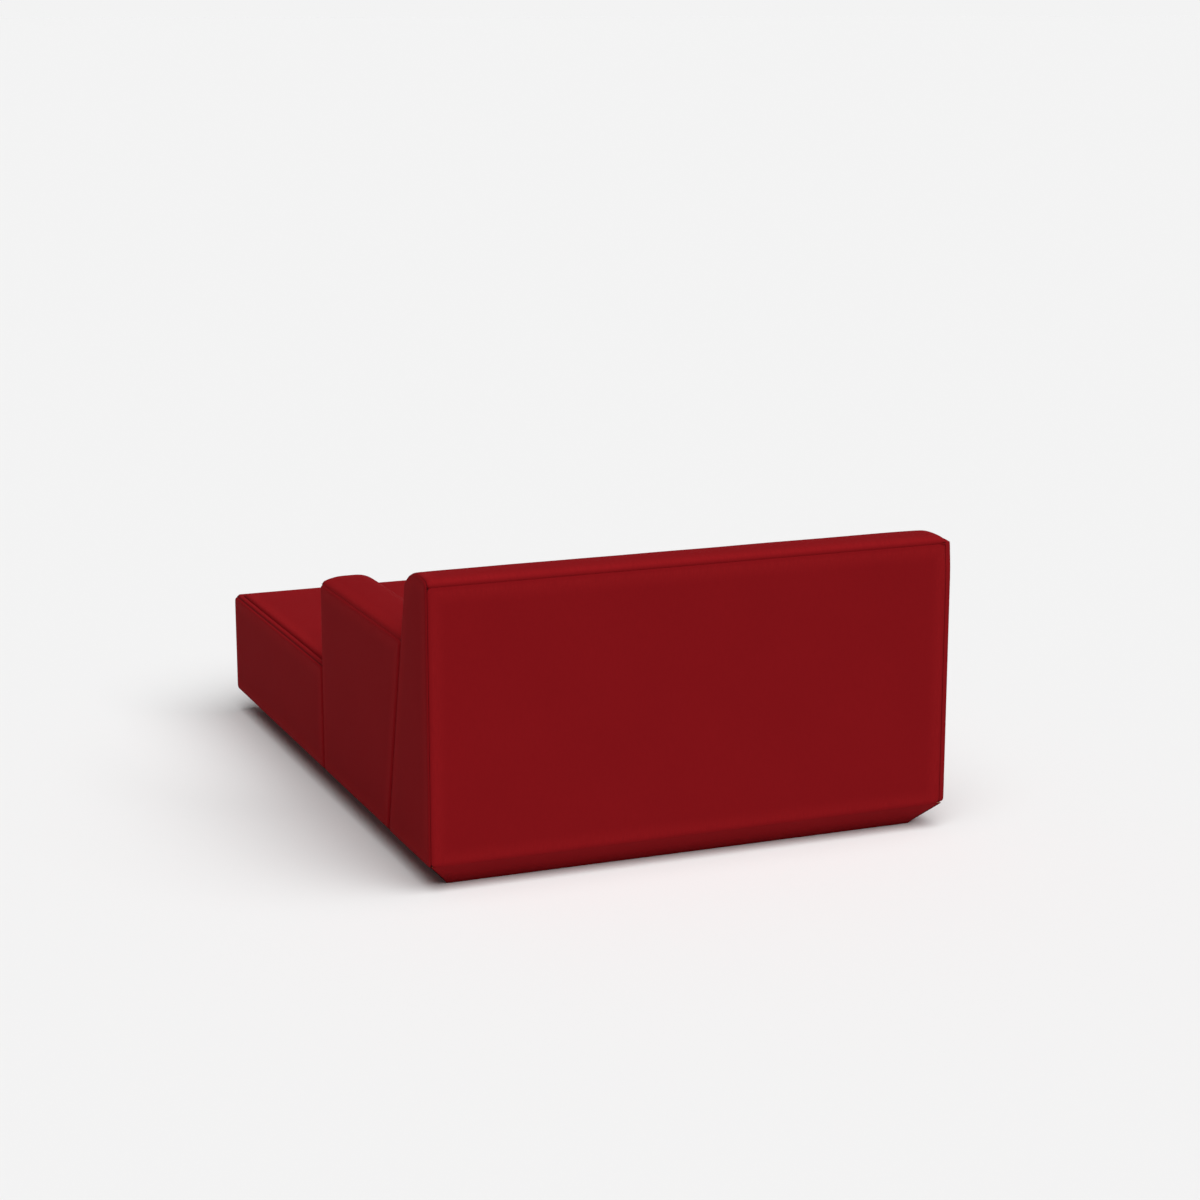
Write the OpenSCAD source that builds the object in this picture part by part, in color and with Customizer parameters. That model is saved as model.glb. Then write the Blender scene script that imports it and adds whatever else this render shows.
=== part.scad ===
// Low modular recamier daybed: an L-shaped upholstered seat, a wedge backrest and a wedge
// armrest. Each stands on its own bevelled base, and the backrest and the armrest are pushed
// onto the seat over steel pins. Millimetres. X runs along the backrest with the armrest on
// the +X side, the rear face is at +Y and Z is up. The origin is on the floor under the
// middle of the footprint.

/* [Overall] */
// Width from side seam to side seam
overall_w = 1280; // [1120:10:1500]
// Depth from the backrest's rear face to the seat's front face
overall_d = 1680; // [1500:10:1900]
// Lean of the backrest's front face and of the armrest's inner face, in degrees
lean = 13.5; // [9:0.5:16]
// Gap between the seat, the backrest and the armrest
module_gap = 0.6; // [0.4:0.1:2]

/* [Backrest] */
// Height of the backrest before its crown
back_h = 708; // [660:2:780]
// Thickness of the backrest across its top
back_top_t = 142; // [126:2:160]
// Radius along the backrest's rear top edge
back_rear_r = 16; // [12:1:30]
// Radius along the backrest's front top edge
back_front_r = 58; // [30:1:60]

/* [Armrest] */
// Height of the armrest before its crown
arm_h = 542; // [500:2:600]
// Thickness of the armrest across its top
arm_top_t = 140; // [126:2:160]
// Distance from the rear face to the armrest's front end
arm_len = 824; // [760:4:900]
// Radius along the armrest's outer top edge
arm_outer_r = 8; // [6:1:20]
// Radius along the armrest's inner top edge
arm_inner_r = 45; // [30:1:55]

/* [Seat] */
// Height of the seat's top seam
seat_h = 325; // [300:1:360]
// Height of the top edges of the seat's frame
rail_top = 198; // [170:1:215]
// Thickness of the soft layer on top of the seat's foam core
comfort_t = 30; // [20:1:45]
// Width of the band sewn along the seat's top edges
band_w = 16; // [10:1:24]

/* [Base] */
// Height of the glides, which is the gap under each base
glide_h = 3; // [2:0.5:6]
// Diameter of a glide
glide_d = 26; // [20:1:30]
// Height of the top of the bevel above the floor
bevel_h = 61; // [52:1:75]
// How far the bevel runs in from the sides at the bottom
bevel_in = 56; // [40:1:70]
// Thickness of the bevelled base boards where they stand
plinth_t = 32; // [28:1:40]
// Clearance between neighbouring boards, pads and covers inside a module
joint_gap = 0.2; // [0.1:0.1:0.5]

/* [Upholstery] */
// Thickness of the cover cloth with its backing
cover_t = 1.6; // [1.2:0.1:2.5]
// Width of the groove that a seam leaves between two cover pieces
seam_groove = 0.8; // [0.5:0.1:1.5]
// How far a cover piece swells over its seams
crown = 6; // [3:0.5:10]
// How far the seat's top swells over its seams
seat_crown = 9; // [5:0.5:14]
// Distance from a seam over which a cover piece rolls up to its swell
roll = 34; // [20:1:50]
// Thickness of the wadding on the outer sides of the frames
side_pad_t = 12; // [8:1:16]
// Thickness of the wadding over the rear board and the armrest's outer board
rear_pad_t = 8; // [6:1:12]
// Thickness of the foam on the leaning faces
face_foam_t = 46; // [36:1:52]
// Thickness of the foam over the top of the backrest and the armrest
top_foam_t = 52; // [50:1:64]
// Thickness of the dust cloth under each base
dust_t = 1; // [0.6:0.1:2]

/* [Frame] */
// Thickness of a frame rail
rail_t = 25; // [20:1:30]
// Thickness of a plywood rib
rib_t = 18; // [15:1:22]
// Height of the rails inside the backrest and the armrest
inner_rail_h = 70; // [50:1:90]
// Thickness of the boards that close the backrest and the armrest
board_t = 5; // [3:0.5:8]
// Leg length of a glued corner block
block_leg = 60; // [40:1:80]
// Height of a glued corner block
block_h = 80; // [50:1:100]
// Diameter of the lightening holes in the ribs
rib_hole_d = 60; // [40:1:70]

/* [Webbing] */
// Width of an elastic web
web_w = 60; // [45:1:70]
// Thickness of an elastic web
web_t = 2.4; // [1.5:0.1:3]
// Thickness of the felt over the seat's webs
felt_t = 4; // [3:0.5:6]
// Length over which a web rises or dips beside the web that it crosses
web_ramp = 14; // [10:1:20]

/* [Couplings] */
// Diameter of a coupling pin
pin_d = 12; // [10:0.5:14]
// Length of a pin in front of the face that it comes out of
pin_reach = 55; // [50:1:60]
// Clearance around a pin in its socket
pin_clear = 0.3; // [0.2:0.05:0.5]
// Wall of a socket's sleeve
sleeve_wall = 3; // [2:0.5:4]
// Diameter of the flanges of the pins and the sockets
flange_d = 36; // [30:1:40]
// Thickness of the flanges
flange_t = 3; // [2:0.5:4]
// Height of the pins above the floor
pin_z = 33; // [30:0.5:36]

/* [Hidden] */

cloth_colour = [0.50, 0.08, 0.10];
seam_colour = [0.33, 0.06, 0.08];
lining_colour = [0.16, 0.15, 0.16];
foam_colour = [0.93, 0.88, 0.68];
wadding_colour = [0.93, 0.93, 0.91];
felt_colour = [0.52, 0.52, 0.54];
ply_colour = [0.82, 0.67, 0.46];
pine_colour = [0.88, 0.74, 0.51];
board_colour = [0.52, 0.37, 0.24];
web_colour = [0.80, 0.79, 0.74];
steel_colour = [0.66, 0.67, 0.70];
glide_colour = [0.13, 0.13, 0.14];

// Cuts run this far past what they cut
over = 1;
// Cutters that take away a whole side reach this far out of the part
reach = overall_d;
// Segments in a rounded corner of an outline, and facets round bores and turned pieces
corner_steps = 6;
turned_steps = 20;
// Share of the roll distance at which the rings of a swelling cover lie
roll_shares = [0, 0.07, 0.28, 0.62, 1];
// Part of the crown that a cover reaches within the roll distance
roll_crown_share = 0.8;
// Inset of the last ring of a swelling cover, as a share of its shorter side
deep_share = 0.28;
// Share of a corner radius that is left where a ring has moved in past it
least_radius_share = 0.12;

half_w = overall_w / 2;
half_d = overall_d / 2;
slope = tan(lean);
upright = cos(lean);
gap_h = module_gap / upright;
cover_h = cover_t / upright;
base_z = glide_h;
board_z = base_z + dust_t;
base_rise = bevel_h - base_z;
bevel_run = norm([bevel_in, base_rise]);

// Distance of the backrest's front face from the rear face, at height z
function back_face(z) = back_top_t + (back_h - z) * slope;
// Distance of the armrest's inner face from the outer face, at height z
function arm_face(z) = arm_top_t + (arm_h - z) * slope;
// Distance of the inset bevel from the outside, at height z
function bevel_depth(z, inset) = (bevel_h - z) * bevel_in / base_rise + inset * bevel_run / base_rise;

// Places on the seat's plan: the notch for the armrest and the backrest's line
notch_y = half_d - arm_len - module_gap;
notch_inner_y = notch_y - cover_t;
frame_side = cover_t + side_pad_t;
frame_left = -half_w + frame_side;
frame_right = half_w - frame_side;
frame_front = -half_d + frame_side;
frame_notch_x = half_w - arm_face(bevel_h) - gap_h - cover_h;
frame_notch_y = notch_inner_y - side_pad_t;
frame_rear = half_d - back_face(bevel_h) - gap_h - cover_h;
cross_y = frame_notch_y - rail_t;
front_bay = [frame_front + rail_t, cross_y];
rear_bay = [frame_notch_y, frame_rear - rail_t];
front_bay_rail_y = (front_bay[0] + front_bay[1] - rail_t) / 2;
rear_bay_rail_y = (rear_bay[0] + rear_bay[1] - rail_t) / 2;
web_top = rail_top + 2 * web_t;
foam_low = web_top + felt_t;
seat_skin_z = seat_h - cover_t;
foam_split = seat_skin_z - comfort_t;

// Lengths inside the backrest and the armrest, in their own frames
back_end = half_w - cover_t;
back_frame_end = back_end - side_pad_t;
arm_frame_start = cover_t + side_pad_t;
arm_frame_end = arm_len - back_face(bevel_h) - gap_h - cover_h;

back_outline = [
    [0, bevel_h], [back_face(bevel_h), bevel_h], [back_top_t, back_h], [0, back_h]];
arm_outline = [
    [0, bevel_h], [arm_face(bevel_h), bevel_h], [arm_top_t, arm_h], [0, arm_h]];
back_radii = [0, 0, back_front_r, back_rear_r];
arm_radii = [0, 0, arm_inner_r, arm_outer_r];

// Layers between the seam lines and the frames, in the order bottom, face, top, outside
cover_layers = [0, cover_t, cover_t, cover_t];
fill_layers = cover_layers + [0, joint_gap, joint_gap, joint_gap];
back_foam_layers = [0, cover_t + face_foam_t, cover_t + top_foam_t, cover_t + rear_pad_t];
back_web_layers = back_foam_layers + [0, joint_gap, 0, 0];
back_rib_layers = back_web_layers + [0, web_t, 0, board_t];
arm_rib_layers = back_foam_layers + [0, board_t, 0, board_t];
// Heights of the lightening holes, as shares of a rib's height
rib_hole_shares = [0.4, 0.65];
back_rib_top = back_h - cover_t - top_foam_t;
arm_rib_top = arm_h - cover_t - top_foam_t;

// Places of the couplings, as shares of the backrest's half width and of the armrest's
// length from its front end to the backrest
back_pin_shares = [-0.35, 0.7];
arm_pin_shares = [0.26, 0.8];
back_pin_xs = half_w * back_pin_shares;
arm_pin_ls = arm_rear(base_z) * arm_pin_shares;
// Sizes of a pin's nose, its neck and the neck's radius, as shares of its diameter
pin_nose_share = 0.6;
pin_neck_share = 0.3;
pin_neck_r_share = 0.4;
socket_d = pin_d + 2 * pin_clear + 2 * sleeve_wall;
socket_bore_d = socket_d + 2 * pin_clear;
pin_bore_d = pin_d + 2 * pin_clear;

// Inner faces of the seat's base boards
base_in = bevel_in + plinth_t;
base_rear_y = half_d - back_face(base_z) - gap_h - plinth_t;
base_notch_x = half_w - arm_face(base_z) - gap_h - plinth_t;

// Corner radii of the cover pieces
cover_low_r = 18;
cover_top_r = 8;
side_top = seat_skin_z - seam_groove;
// Height down to which the armrest stands free above the seat, and down to which the
// backrest's cloth swells, as a share of its leaning face above the armrest
arm_rest_z = seat_h + seat_crown + seam_groove;
back_rest_share = 0.32;
back_rest_z = arm_h + (face_top(back_outline, back_radii) - arm_h) * back_rest_share;

// Centres of the webs across the seat
front_web_ys = concat(
    bay_webs(front_bay[0], front_bay_rail_y, 3),
    bay_webs(front_bay_rail_y + rail_t, front_bay[1], 3));
rear_web_ys = concat(
    bay_webs(rear_bay[0], rear_bay_rail_y, 2),
    bay_webs(rear_bay_rail_y + rail_t, rear_bay[1], 2));

// Where the armrest's cloth ends towards the backrest, from its front end, at height z
function arm_rear(z) = arm_len - back_face(z) - gap_h - cover_h;

// Outlines and corners

function unit(v) = v / norm(v);
function cross2(p, q) = p.x * q.y - p.y * q.x;
function before(pts, i) = pts[(i + len(pts) - 1) % len(pts)];
function after(pts, i) = pts[(i + 1) % len(pts)];
function same(value, pts) = [for (p = pts) value];

// Where an edge through p along t meets an edge through q along u
function meet(p, t, q, u) = p + t * cross2(q - p, u) / cross2(t, u);

// A counter-clockwise outline whose edge i has moved inwards by ds[i]
function inset_outline(pts, ds) = [
    for (i = [0 : len(pts) - 1])
        let (t = unit(pts[i] - before(pts, i)), u = unit(after(pts, i) - pts[i]))
            meet(pts[i] + before(ds, i) * [-t.y, t.x], t, pts[i] + ds[i] * [-u.y, u.x], u)];

// The arc that rounds corner b between a and c, or b itself where r is 0
function rounded_corner(a, b, c, r) =
    r <= 0 ? [b] :
    let (
        d = unit(a - b), e = unit(c - b), angle = acos(d * e),
        centre = b + unit(d + e) * r / sin(angle / 2),
        first = b + d * r / tan(angle / 2) - centre,
        last = b + e * r / tan(angle / 2) - centre,
        start = atan2(first.y, first.x),
        turn = (atan2(last.y, last.x) - start + 540) % 360 - 180)
    [for (k = [0 : corner_steps])
        let (at = start + turn * k / corner_steps) centre + r * [cos(at), sin(at)]];

function rounded_outline(pts, radii) = [
    for (i = [0 : len(pts) - 1])
        each rounded_corner(before(pts, i), pts[i], after(pts, i), radii[i])];

// A rounded outline moved inwards by the distances ds, with its radii moved along
function layer_outline(pts, radii, ds) =
    rounded_outline(inset_outline(pts, ds), [
        for (i = [0 : len(pts) - 1])
            radii[i] <= 0 ? 0 : max(radii[i] - ds[i], radii[i] * least_radius_share)]);

// Ring of a swelling cover: its outline moved in by d
function ring_outline(pts, radii, d) = layer_outline(pts, radii, same(d, pts));

function roll_height(d) = sqrt(1 - pow(1 - min(d / roll, 1), 2));
function deep_height(d, deep) = 1 - pow(1 - min(d / deep, 1), 2);
function swell(d, deep) =
    roll_crown_share * roll_height(d) + (1 - roll_crown_share) * deep_height(d, deep);

// Points from low to high, close together near both ends
function stations(low, high) =
    let (
        size = high - low, edge = min(roll, size / 3),
        left = [for (s = roll_shares) low + s * edge],
        middle = [(low + high) / 2])
    concat(left, middle, [for (i = [len(left) - 1 : -1 : 0]) high - (left[i] - low)]);

// Extrudes an outline drawn as depth and height along the local X axis
module along(low, high) {
    translate([low, 0, 0]) rotate([90, 0, 90]) linear_extrude(high - low) children();
}

module box(low, high) {
    translate(low) cube(high - low);
}

// A cover piece that swells from its seams, standing on the XY plane
module swelling_cover(outline, radii, swell_h) {
    xs = [for (p = outline) p.x];
    ys = [for (p = outline) p.y];
    deep = min(max(xs) - min(xs), max(ys) - min(ys)) * deep_share;
    insets = concat([for (s = roll_shares) s * min(roll, deep)], [(roll + deep) / 2, deep]);
    rings = [for (d = insets) if (d <= deep) d];
    loops = concat(
        [[for (p = ring_outline(outline, radii, 0)) [p.x, p.y, 0]]],
        [for (d = rings)
            [for (p = ring_outline(outline, radii, d)) [p.x, p.y, cover_t + swell_h * swell(d, deep)]]]);
    n = len(loops[0]);
    m = len(loops);
    polyhedron(
        [for (loop = loops) each loop],
        concat(
            [[for (i = [0 : n - 1]) i], [for (i = [n - 1 : -1 : 0]) (m - 1) * n + i]],
            [for (k = [0 : m - 2]) for (i = [0 : n - 1])
                each let (a = k * n + i, b = k * n + (i + 1) % n) [[a, a + n, b + n], [a, b + n, b]]]));
}

// Left-hand normal of a path at point i
function path_normal(path, i) =
    let (
        m = len(path) - 1,
        t = i > 0 ? unit(path[i] - path[i - 1]) : unit(path[1] - path[0]),
        u = i < m ? unit(path[i + 1] - path[i]) : t,
        n = unit(t + u))
    [-n.y, n.x];

function path_length(path, i) = i == 0 ? 0 : path_length(path, i - 1) + norm(path[i] - path[i - 1]);

// A cover piece wrapped over a path from low to high along the local X axis. It swells as
// far as point rest of the path and lies flat past it. Its high end leans by end_slope for
// each millimetre of height above the floor.
module wrapped_cover(path, rest, low, high, end_slope, swell_h) {
    m = len(path);
    free = path_length(path, rest);
    lifts = [for (j = [0 : m - 1])
        let (s = path_length(path, j)) swell(max(min(s, free - s), 0), free / 2)];
    cells = stations(low, high);
    span = high - low;
    n = len(cells);
    inner = [for (x = cells) for (p = path)
        [low + (x - low) * (span + p.y * end_slope) / span, p.x, p.y]];
    outer = [for (x = cells) for (j = [0 : m - 1])
        let (
            t = cover_t + swell_h * lifts[j] * swell(min(x - low, high - x), span / 2),
            q = path[j] + t * path_normal(path, j))
        [low + (x - low) * (span + path[j].y * end_slope) / span, q.x, q.y]];
    k = n * m;
    polyhedron(
        concat(inner, outer),
        concat(
            [for (i = [0 : n - 2]) for (j = [0 : m - 2])
                each let (a = i * m + j, b = a + m)
                    [[a, b, b + 1], [a, b + 1, a + 1],
                     [k + a, k + b + 1, k + b], [k + a, k + a + 1, k + b + 1]]],
            [for (i = [0 : n - 2])
                each let (a = i * m, b = a + m, c = a + m - 1, d = b + m - 1)
                    [[a, k + a, k + b], [a, k + b, b], [c, k + d, k + c], [c, d, k + d]]],
            [for (j = [0 : m - 2])
                each let (a = j, c = (n - 1) * m + j)
                    [[a, a + 1, k + a + 1], [a, k + a + 1, k + a],
                     [c, k + c + 1, c + 1], [c, k + c, k + c + 1]]]));
}

// The path of a wrapped cover: its corner on the outside, its corner on the inside, and
// the leaning face down to height rest_z, where what stands in front takes over
function wrap_arcs(outline, radii) =
    let (core = inset_outline(outline, cover_layers))
    concat(
        rounded_corner(core[0], core[3], core[2], radii[3] - cover_t),
        rounded_corner(core[3], core[2], core[1], radii[2] - cover_t));

// Height at which a module's leaning face turns into its rounded top
function face_top(outline, radii) =
    let (arcs = wrap_arcs(outline, radii)) arcs[len(arcs) - 1].y;

function wrap_path(outline, radii, rest_z) =
    let (
        core = inset_outline(outline, cover_layers),
        arcs = wrap_arcs(outline, radii),
        top = arcs[len(arcs) - 1],
        down = unit(core[1] - top),
        rest = (top.y - rest_z) / -down.y,
        face = stations(0, rest))
    concat(arcs, [for (i = [1 : len(face) - 1]) top + down * face[i]], [core[1]]);

// Frames of the backrest and the armrest: local X runs along them, local Y inwards

module in_back() {
    translate([0, half_d, 0]) rotate([0, 0, 180]) children();
}

module in_arm() {
    translate([half_w, half_d - arm_len, 0]) rotate([0, 0, 90]) children();
}

// Room that the backrest takes up, grown by g
module back_zone(g) {
    low = -over;
    high = back_h;
    in_back() along(-reach, reach)
        polygon([
            [-reach, low], [back_face(low) + g / upright, low],
            [back_face(high) + g / upright, high], [-reach, high]]);
}

// Room that the armrest takes up, grown by g
module arm_zone(g) {
    low = -over;
    high = arm_h;
    in_arm() along(-g, reach)
        polygon([
            [-reach, low], [arm_face(low) + g / upright, low],
            [arm_face(high) + g / upright, high], [-reach, high]]);
}

// What the bevel takes away under all four sides of the footprint
module bevel_cut(inset) {
    low = base_z - over;
    high = bevel_h + over;
    profile = [
        [-reach, low], [bevel_depth(low, inset), low], [bevel_depth(high, inset), high],
        [-reach, high]];
    for (side = [0, 1])
        rotate([0, 0, side * 180]) {
            translate([0, -half_d, 0]) along(-reach, reach) polygon(profile);
            rotate([0, 0, 90]) translate([0, -half_w, 0]) along(-reach, reach) polygon(profile);
        }
}

// Base zones of the three modules between two heights, moved in by inset

module seat_base(inset, low, high) {
    difference() {
        box([-half_w, -half_d, low], [half_w, half_d, high]);
        bevel_cut(inset);
        back_zone(module_gap + inset);
        arm_zone(module_gap + inset);
    }
}

module back_base(inset, low, high) {
    difference() {
        in_back() along(-half_w, half_w)
            polygon([
                [0, low], [back_face(low) - inset / upright, low],
                [back_face(high) - inset / upright, high], [0, high]]);
        bevel_cut(inset);
    }
}

module arm_base(inset, low, high) {
    difference() {
        in_arm() along(inset, arm_len)
            polygon([
                [0, low], [arm_face(low) - inset / upright, low],
                [arm_face(high) - inset / upright, high], [0, high]]);
        bevel_cut(inset);
        back_zone(module_gap + inset);
    }
}

// Seat body above the bevel, moved in by inset
module seat_block(inset, low, high) {
    difference() {
        box([-half_w + inset, -half_d + inset, low], [half_w - inset, half_d, high]);
        back_zone(module_gap + inset);
        arm_zone(module_gap + inset);
    }
}

// Couplings

// Bores through the edges of the backrest, the armrest and the seat where the pins cross
module coupling_bores(d) {
    depth = 2 * (bevel_in + plinth_t);
    in_back()
        for (x = back_pin_xs)
            translate([x, back_face(pin_z), pin_z]) rotate([90, 0, 0])
                cylinder(d = d, h = depth, center = true, $fn = turned_steps);
    in_arm()
        for (l = arm_pin_ls)
            translate([l, arm_face(pin_z), pin_z]) rotate([90, 0, 0])
                cylinder(d = d, h = depth, center = true, $fn = turned_steps);
}

// A turned pin along Z: its flange lies under a board's inner face at zero, and its shank
// comes out of the cover at height face
module coupling_pin(face) {
    tip = face + pin_reach;
    nose = pin_d * pin_nose_share;
    neck = pin_d * pin_neck_share;
    neck_r = pin_d * pin_neck_r_share;
    rotate_extrude($fn = turned_steps)
        polygon([
            [0, -flange_t], [flange_d / 2, -flange_t], [flange_d / 2, 0], [pin_d / 2, 0],
            [pin_d / 2, tip - nose - 2 * neck], [neck_r, tip - nose - 2 * neck],
            [neck_r, tip - nose - neck], [pin_d / 2, tip - nose - neck],
            [pin_d / 2, tip - nose], [pin_d / 4, tip], [0, tip]]);
}

// A flanged socket along Z: its sleeve runs up from zero to its flange at height size
module coupling_socket(size) {
    bore = pin_d / 2 + pin_clear;
    lead = sleeve_wall / 2;
    rotate_extrude($fn = turned_steps)
        polygon([
            [bore + lead, 0], [socket_d / 2, 0], [socket_d / 2, size], [flange_d / 2, size],
            [flange_d / 2, size + flange_t], [bore, size + flange_t], [bore, lead]]);
}

// Seat frame

module rail(low, high) {
    color(pine_colour) box([low.x, low.y, bevel_h], [high.x, high.y, rail_top]);
}

module seat_front_rail() {
    rail([frame_left, frame_front], [frame_right, frame_front + rail_t]);
}

module seat_open_side_rail() {
    rail([frame_left, front_bay[0]], [frame_left + rail_t, frame_rear]);
}

module seat_arm_side_rail() {
    rail([frame_right - rail_t, front_bay[0]], [frame_right, cross_y]);
}

module seat_cross_rail() {
    rail([frame_left + rail_t, cross_y], [frame_right, frame_notch_y]);
}

module seat_bay_rails() {
    left = frame_left + rail_t;
    rail([left, front_bay_rail_y], [frame_right - rail_t, front_bay_rail_y + rail_t]);
    rail([left, rear_bay_rail_y], [frame_notch_x - rail_t, rear_bay_rail_y + rail_t]);
}

module seat_notch_rail() {
    rail([frame_notch_x - rail_t, frame_notch_y], [frame_notch_x, frame_rear]);
}

module seat_rear_rail() {
    rail([frame_left + rail_t, frame_rear - rail_t], [frame_notch_x - rail_t, frame_rear]);
}

// A triangular block glued into the corner at place, turned by angle
module corner_block(place, angle) {
    translate([place.x, place.y, bevel_h]) rotate([0, 0, angle]) linear_extrude(block_h)
        polygon([[0, 0], [block_leg, 0], [0, block_leg]]);
}

module seat_corner_blocks() {
    left = frame_left + rail_t;
    right = frame_right - rail_t;
    notch = frame_notch_x - rail_t;
    color(ply_colour) {
        corner_block([left, front_bay[0]], 0);
        corner_block([right, front_bay[0]], 90);
        corner_block([right, front_bay[1]], 180);
        corner_block([left, front_bay[1]], 270);
        corner_block([left, rear_bay[0]], 0);
        corner_block([notch, rear_bay[0]], 90);
        corner_block([notch, rear_bay[1]], 180);
        corner_block([left, rear_bay[1]], 270);
    }
}

// Bevelled base boards, butted at the corners. Those along the backrest and the armrest
// lean with them on their outer faces.
module seat_base_boards() {
    low = [-half_w + base_in, -half_d + base_in];
    color(pine_colour) difference() {
        intersection() {
            seat_base(cover_t, board_z, bevel_h);
            union() {
                box([-half_w, -half_d, board_z], [half_w, low.y, bevel_h]);
                box([-half_w, low.y + joint_gap, board_z], [low.x, half_d, bevel_h]);
                box([-low.x, low.y + joint_gap, board_z], [half_w, notch_inner_y, bevel_h]);
                box([base_notch_x, notch_inner_y - plinth_t, board_z],
                    [-low.x - joint_gap, notch_inner_y, bevel_h]);
                box([base_notch_x, notch_inner_y + joint_gap, board_z],
                    [half_w, base_rear_y - joint_gap, bevel_h]);
                box([low.x + joint_gap, base_rear_y, board_z], [half_w, half_d, bevel_h]);
            }
        }
        coupling_bores(socket_bore_d);
    }
}

module seat_centre_leg() {
    color(pine_colour)
        box([-block_leg / 2, cross_y, board_z], [block_leg / 2, frame_notch_y, bevel_h]);
}

// Seat suspension and filling

// Centres of n webs spread evenly over a bay
function bay_webs(low, high, n) = [for (k = [0 : n - 1]) low + (high - low) * (k + 0.5) / n];

module web_across(y, right) {
    box([frame_left, y - web_w / 2, rail_top], [right, y + web_w / 2, rail_top + web_t]);
}

module seat_webs_across() {
    color(web_colour) {
        for (y = front_web_ys) web_across(y, frame_right);
        for (y = rear_web_ys) web_across(y, frame_notch_x);
    }
}

// A web that runs along Y at x from the front rail to end, under and over those across.
// It goes over every second one, starting as first_over says.
module web_along(x, end, crossings, first_over) {
    line = concat(
        [[frame_front, rail_top]],
        [for (k = [0 : len(crossings) - 1])
            let (
                y = crossings[k],
                z = rail_top + ((k + first_over) % 2 == 1 ? web_t : -web_t),
                half = web_w / 2)
            each [
                [y - half - web_ramp, rail_top], [y - half, z], [y + half, z],
                [y + half + web_ramp, rail_top]]],
        [[end, rail_top]]);
    n = len(line);
    translate([x - web_w / 2, 0, 0]) along(0, web_w)
        polygon(concat(line, [for (i = [n - 1 : -1 : 0]) line[i] + [0, web_t]]));
}

module seat_webs_along() {
    left_xs = bay_webs(frame_left + rail_t, frame_notch_x - rail_t, 6);
    right_xs = bay_webs(frame_notch_x, frame_right - rail_t, 2);
    color(web_colour) {
        for (i = [0 : len(left_xs) - 1])
            web_along(left_xs[i], frame_rear, concat(front_web_ys, rear_web_ys), i % 2);
        for (i = [0 : len(right_xs) - 1])
            web_along(right_xs[i], frame_notch_y, front_web_ys, i % 2);
    }
}

module seat_felt() {
    color(felt_colour) translate([0, 0, web_top]) linear_extrude(felt_t)
        polygon([
            [frame_left, frame_front], [frame_right, frame_front],
            [frame_right, frame_notch_y], [frame_notch_x, frame_notch_y],
            [frame_notch_x, frame_rear], [frame_left, frame_rear]]);
}

// Wadding strips on the frame's outer faces, with wedges that follow the leaning modules
module seat_side_wadding() {
    outer = half_w - cover_t;
    left = frame_left - joint_gap;
    right = frame_right + joint_gap;
    notch = frame_notch_x + joint_gap;
    front = frame_front - joint_gap;
    rear = frame_rear + joint_gap;
    low = bevel_h;
    high = foam_low - joint_gap;
    color(wadding_colour) difference() {
        union() {
            box([-outer, -half_d + cover_t, low], [outer, front, high]);
            box([-outer, frame_front, low], [left, half_d, high]);
            box([right, frame_front, low], [outer, notch_inner_y, high]);
            box([notch, frame_notch_y + joint_gap, low], [frame_right, notch_inner_y, high]);
            box([notch, notch_inner_y + joint_gap, low], [half_w, frame_rear, high]);
            box([frame_left, rear, low], [half_w, half_d, high]);
        }
        back_zone(module_gap + cover_t + joint_gap);
        arm_zone(module_gap + cover_t + joint_gap);
    }
}

module seat_foam_core() {
    color(foam_colour) seat_block(cover_t, foam_low, foam_split);
}

module seat_comfort_layer() {
    color(wadding_colour) seat_block(cover_t, foam_split, seat_skin_z);
}

// Seat cover

// Plan of the seat at height z, from the front along the armrest's side
function seat_plan(z) =
    let (x = half_w - arm_face(z) - gap_h, y = half_d - back_face(z) - gap_h)
    [[-half_w, -half_d], [half_w, -half_d], [half_w, notch_y], [x, notch_y], [x, y], [-half_w, y]];

module seat_top_cover() {
    edge = band_w + seam_groove;
    outline = inset_outline(seat_plan(seat_skin_z), [edge, edge, 0, 0, 0, edge]);
    color(cloth_colour) translate([0, 0, seat_skin_z])
        swelling_cover(outline, [cover_top_r, cover_top_r, 0, 0, 0, 0], seat_crown);
}

// The flat band between the two seams along the open edges
module seat_edge_band() {
    plan = seat_plan(seat_skin_z);
    color(cloth_colour) translate([0, 0, seat_skin_z]) linear_extrude(cover_t) difference() {
        polygon(plan);
        polygon(inset_outline(plan, [band_w, band_w, -over, -over, -over, band_w]));
    }
}

// Cover piece on the seat's +X side from the front as far as the length at each height
module seat_side_cover(low_len, high_len) {
    outline = [
        [cover_t, bevel_h], [low_len, bevel_h], [high_len, side_top], [cover_t, side_top]];
    translate([half_w - cover_t, -half_d, 0]) rotate([90, 0, 90])
        swelling_cover(outline, [cover_low_r, cover_low_r, cover_top_r, cover_top_r], crown);
}

module seat_side_covers() {
    gap = gap_h + seam_groove;
    color(cloth_colour) {
        seat_side_cover(notch_y + half_d, notch_y + half_d);
        mirror([1, 0, 0])
            seat_side_cover(
                overall_d - back_face(bevel_h) - gap, overall_d - back_face(side_top) - gap);
    }
}

module seat_front_cover() {
    x = half_w - cover_t;
    outline = [[-x, bevel_h], [x, bevel_h], [x, side_top], [-x, side_top]];
    color(cloth_colour) translate([0, -half_d + cover_t, 0]) rotate([90, 0, 0])
        swelling_cover(outline, [cover_low_r, cover_low_r, cover_top_r, cover_top_r], crown);
}

// Plain cloth on the faces against the backrest and the armrest
module seat_inner_cover() {
    side = half_w - cover_t;
    color(lining_colour) difference() {
        box([-side, -half_d + cover_t, bevel_h], [side, half_d, seat_skin_z]);
        back_zone(module_gap);
        arm_zone(module_gap);
        seat_block(cover_t, bevel_h - over, seat_skin_z + over);
    }
}

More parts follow.
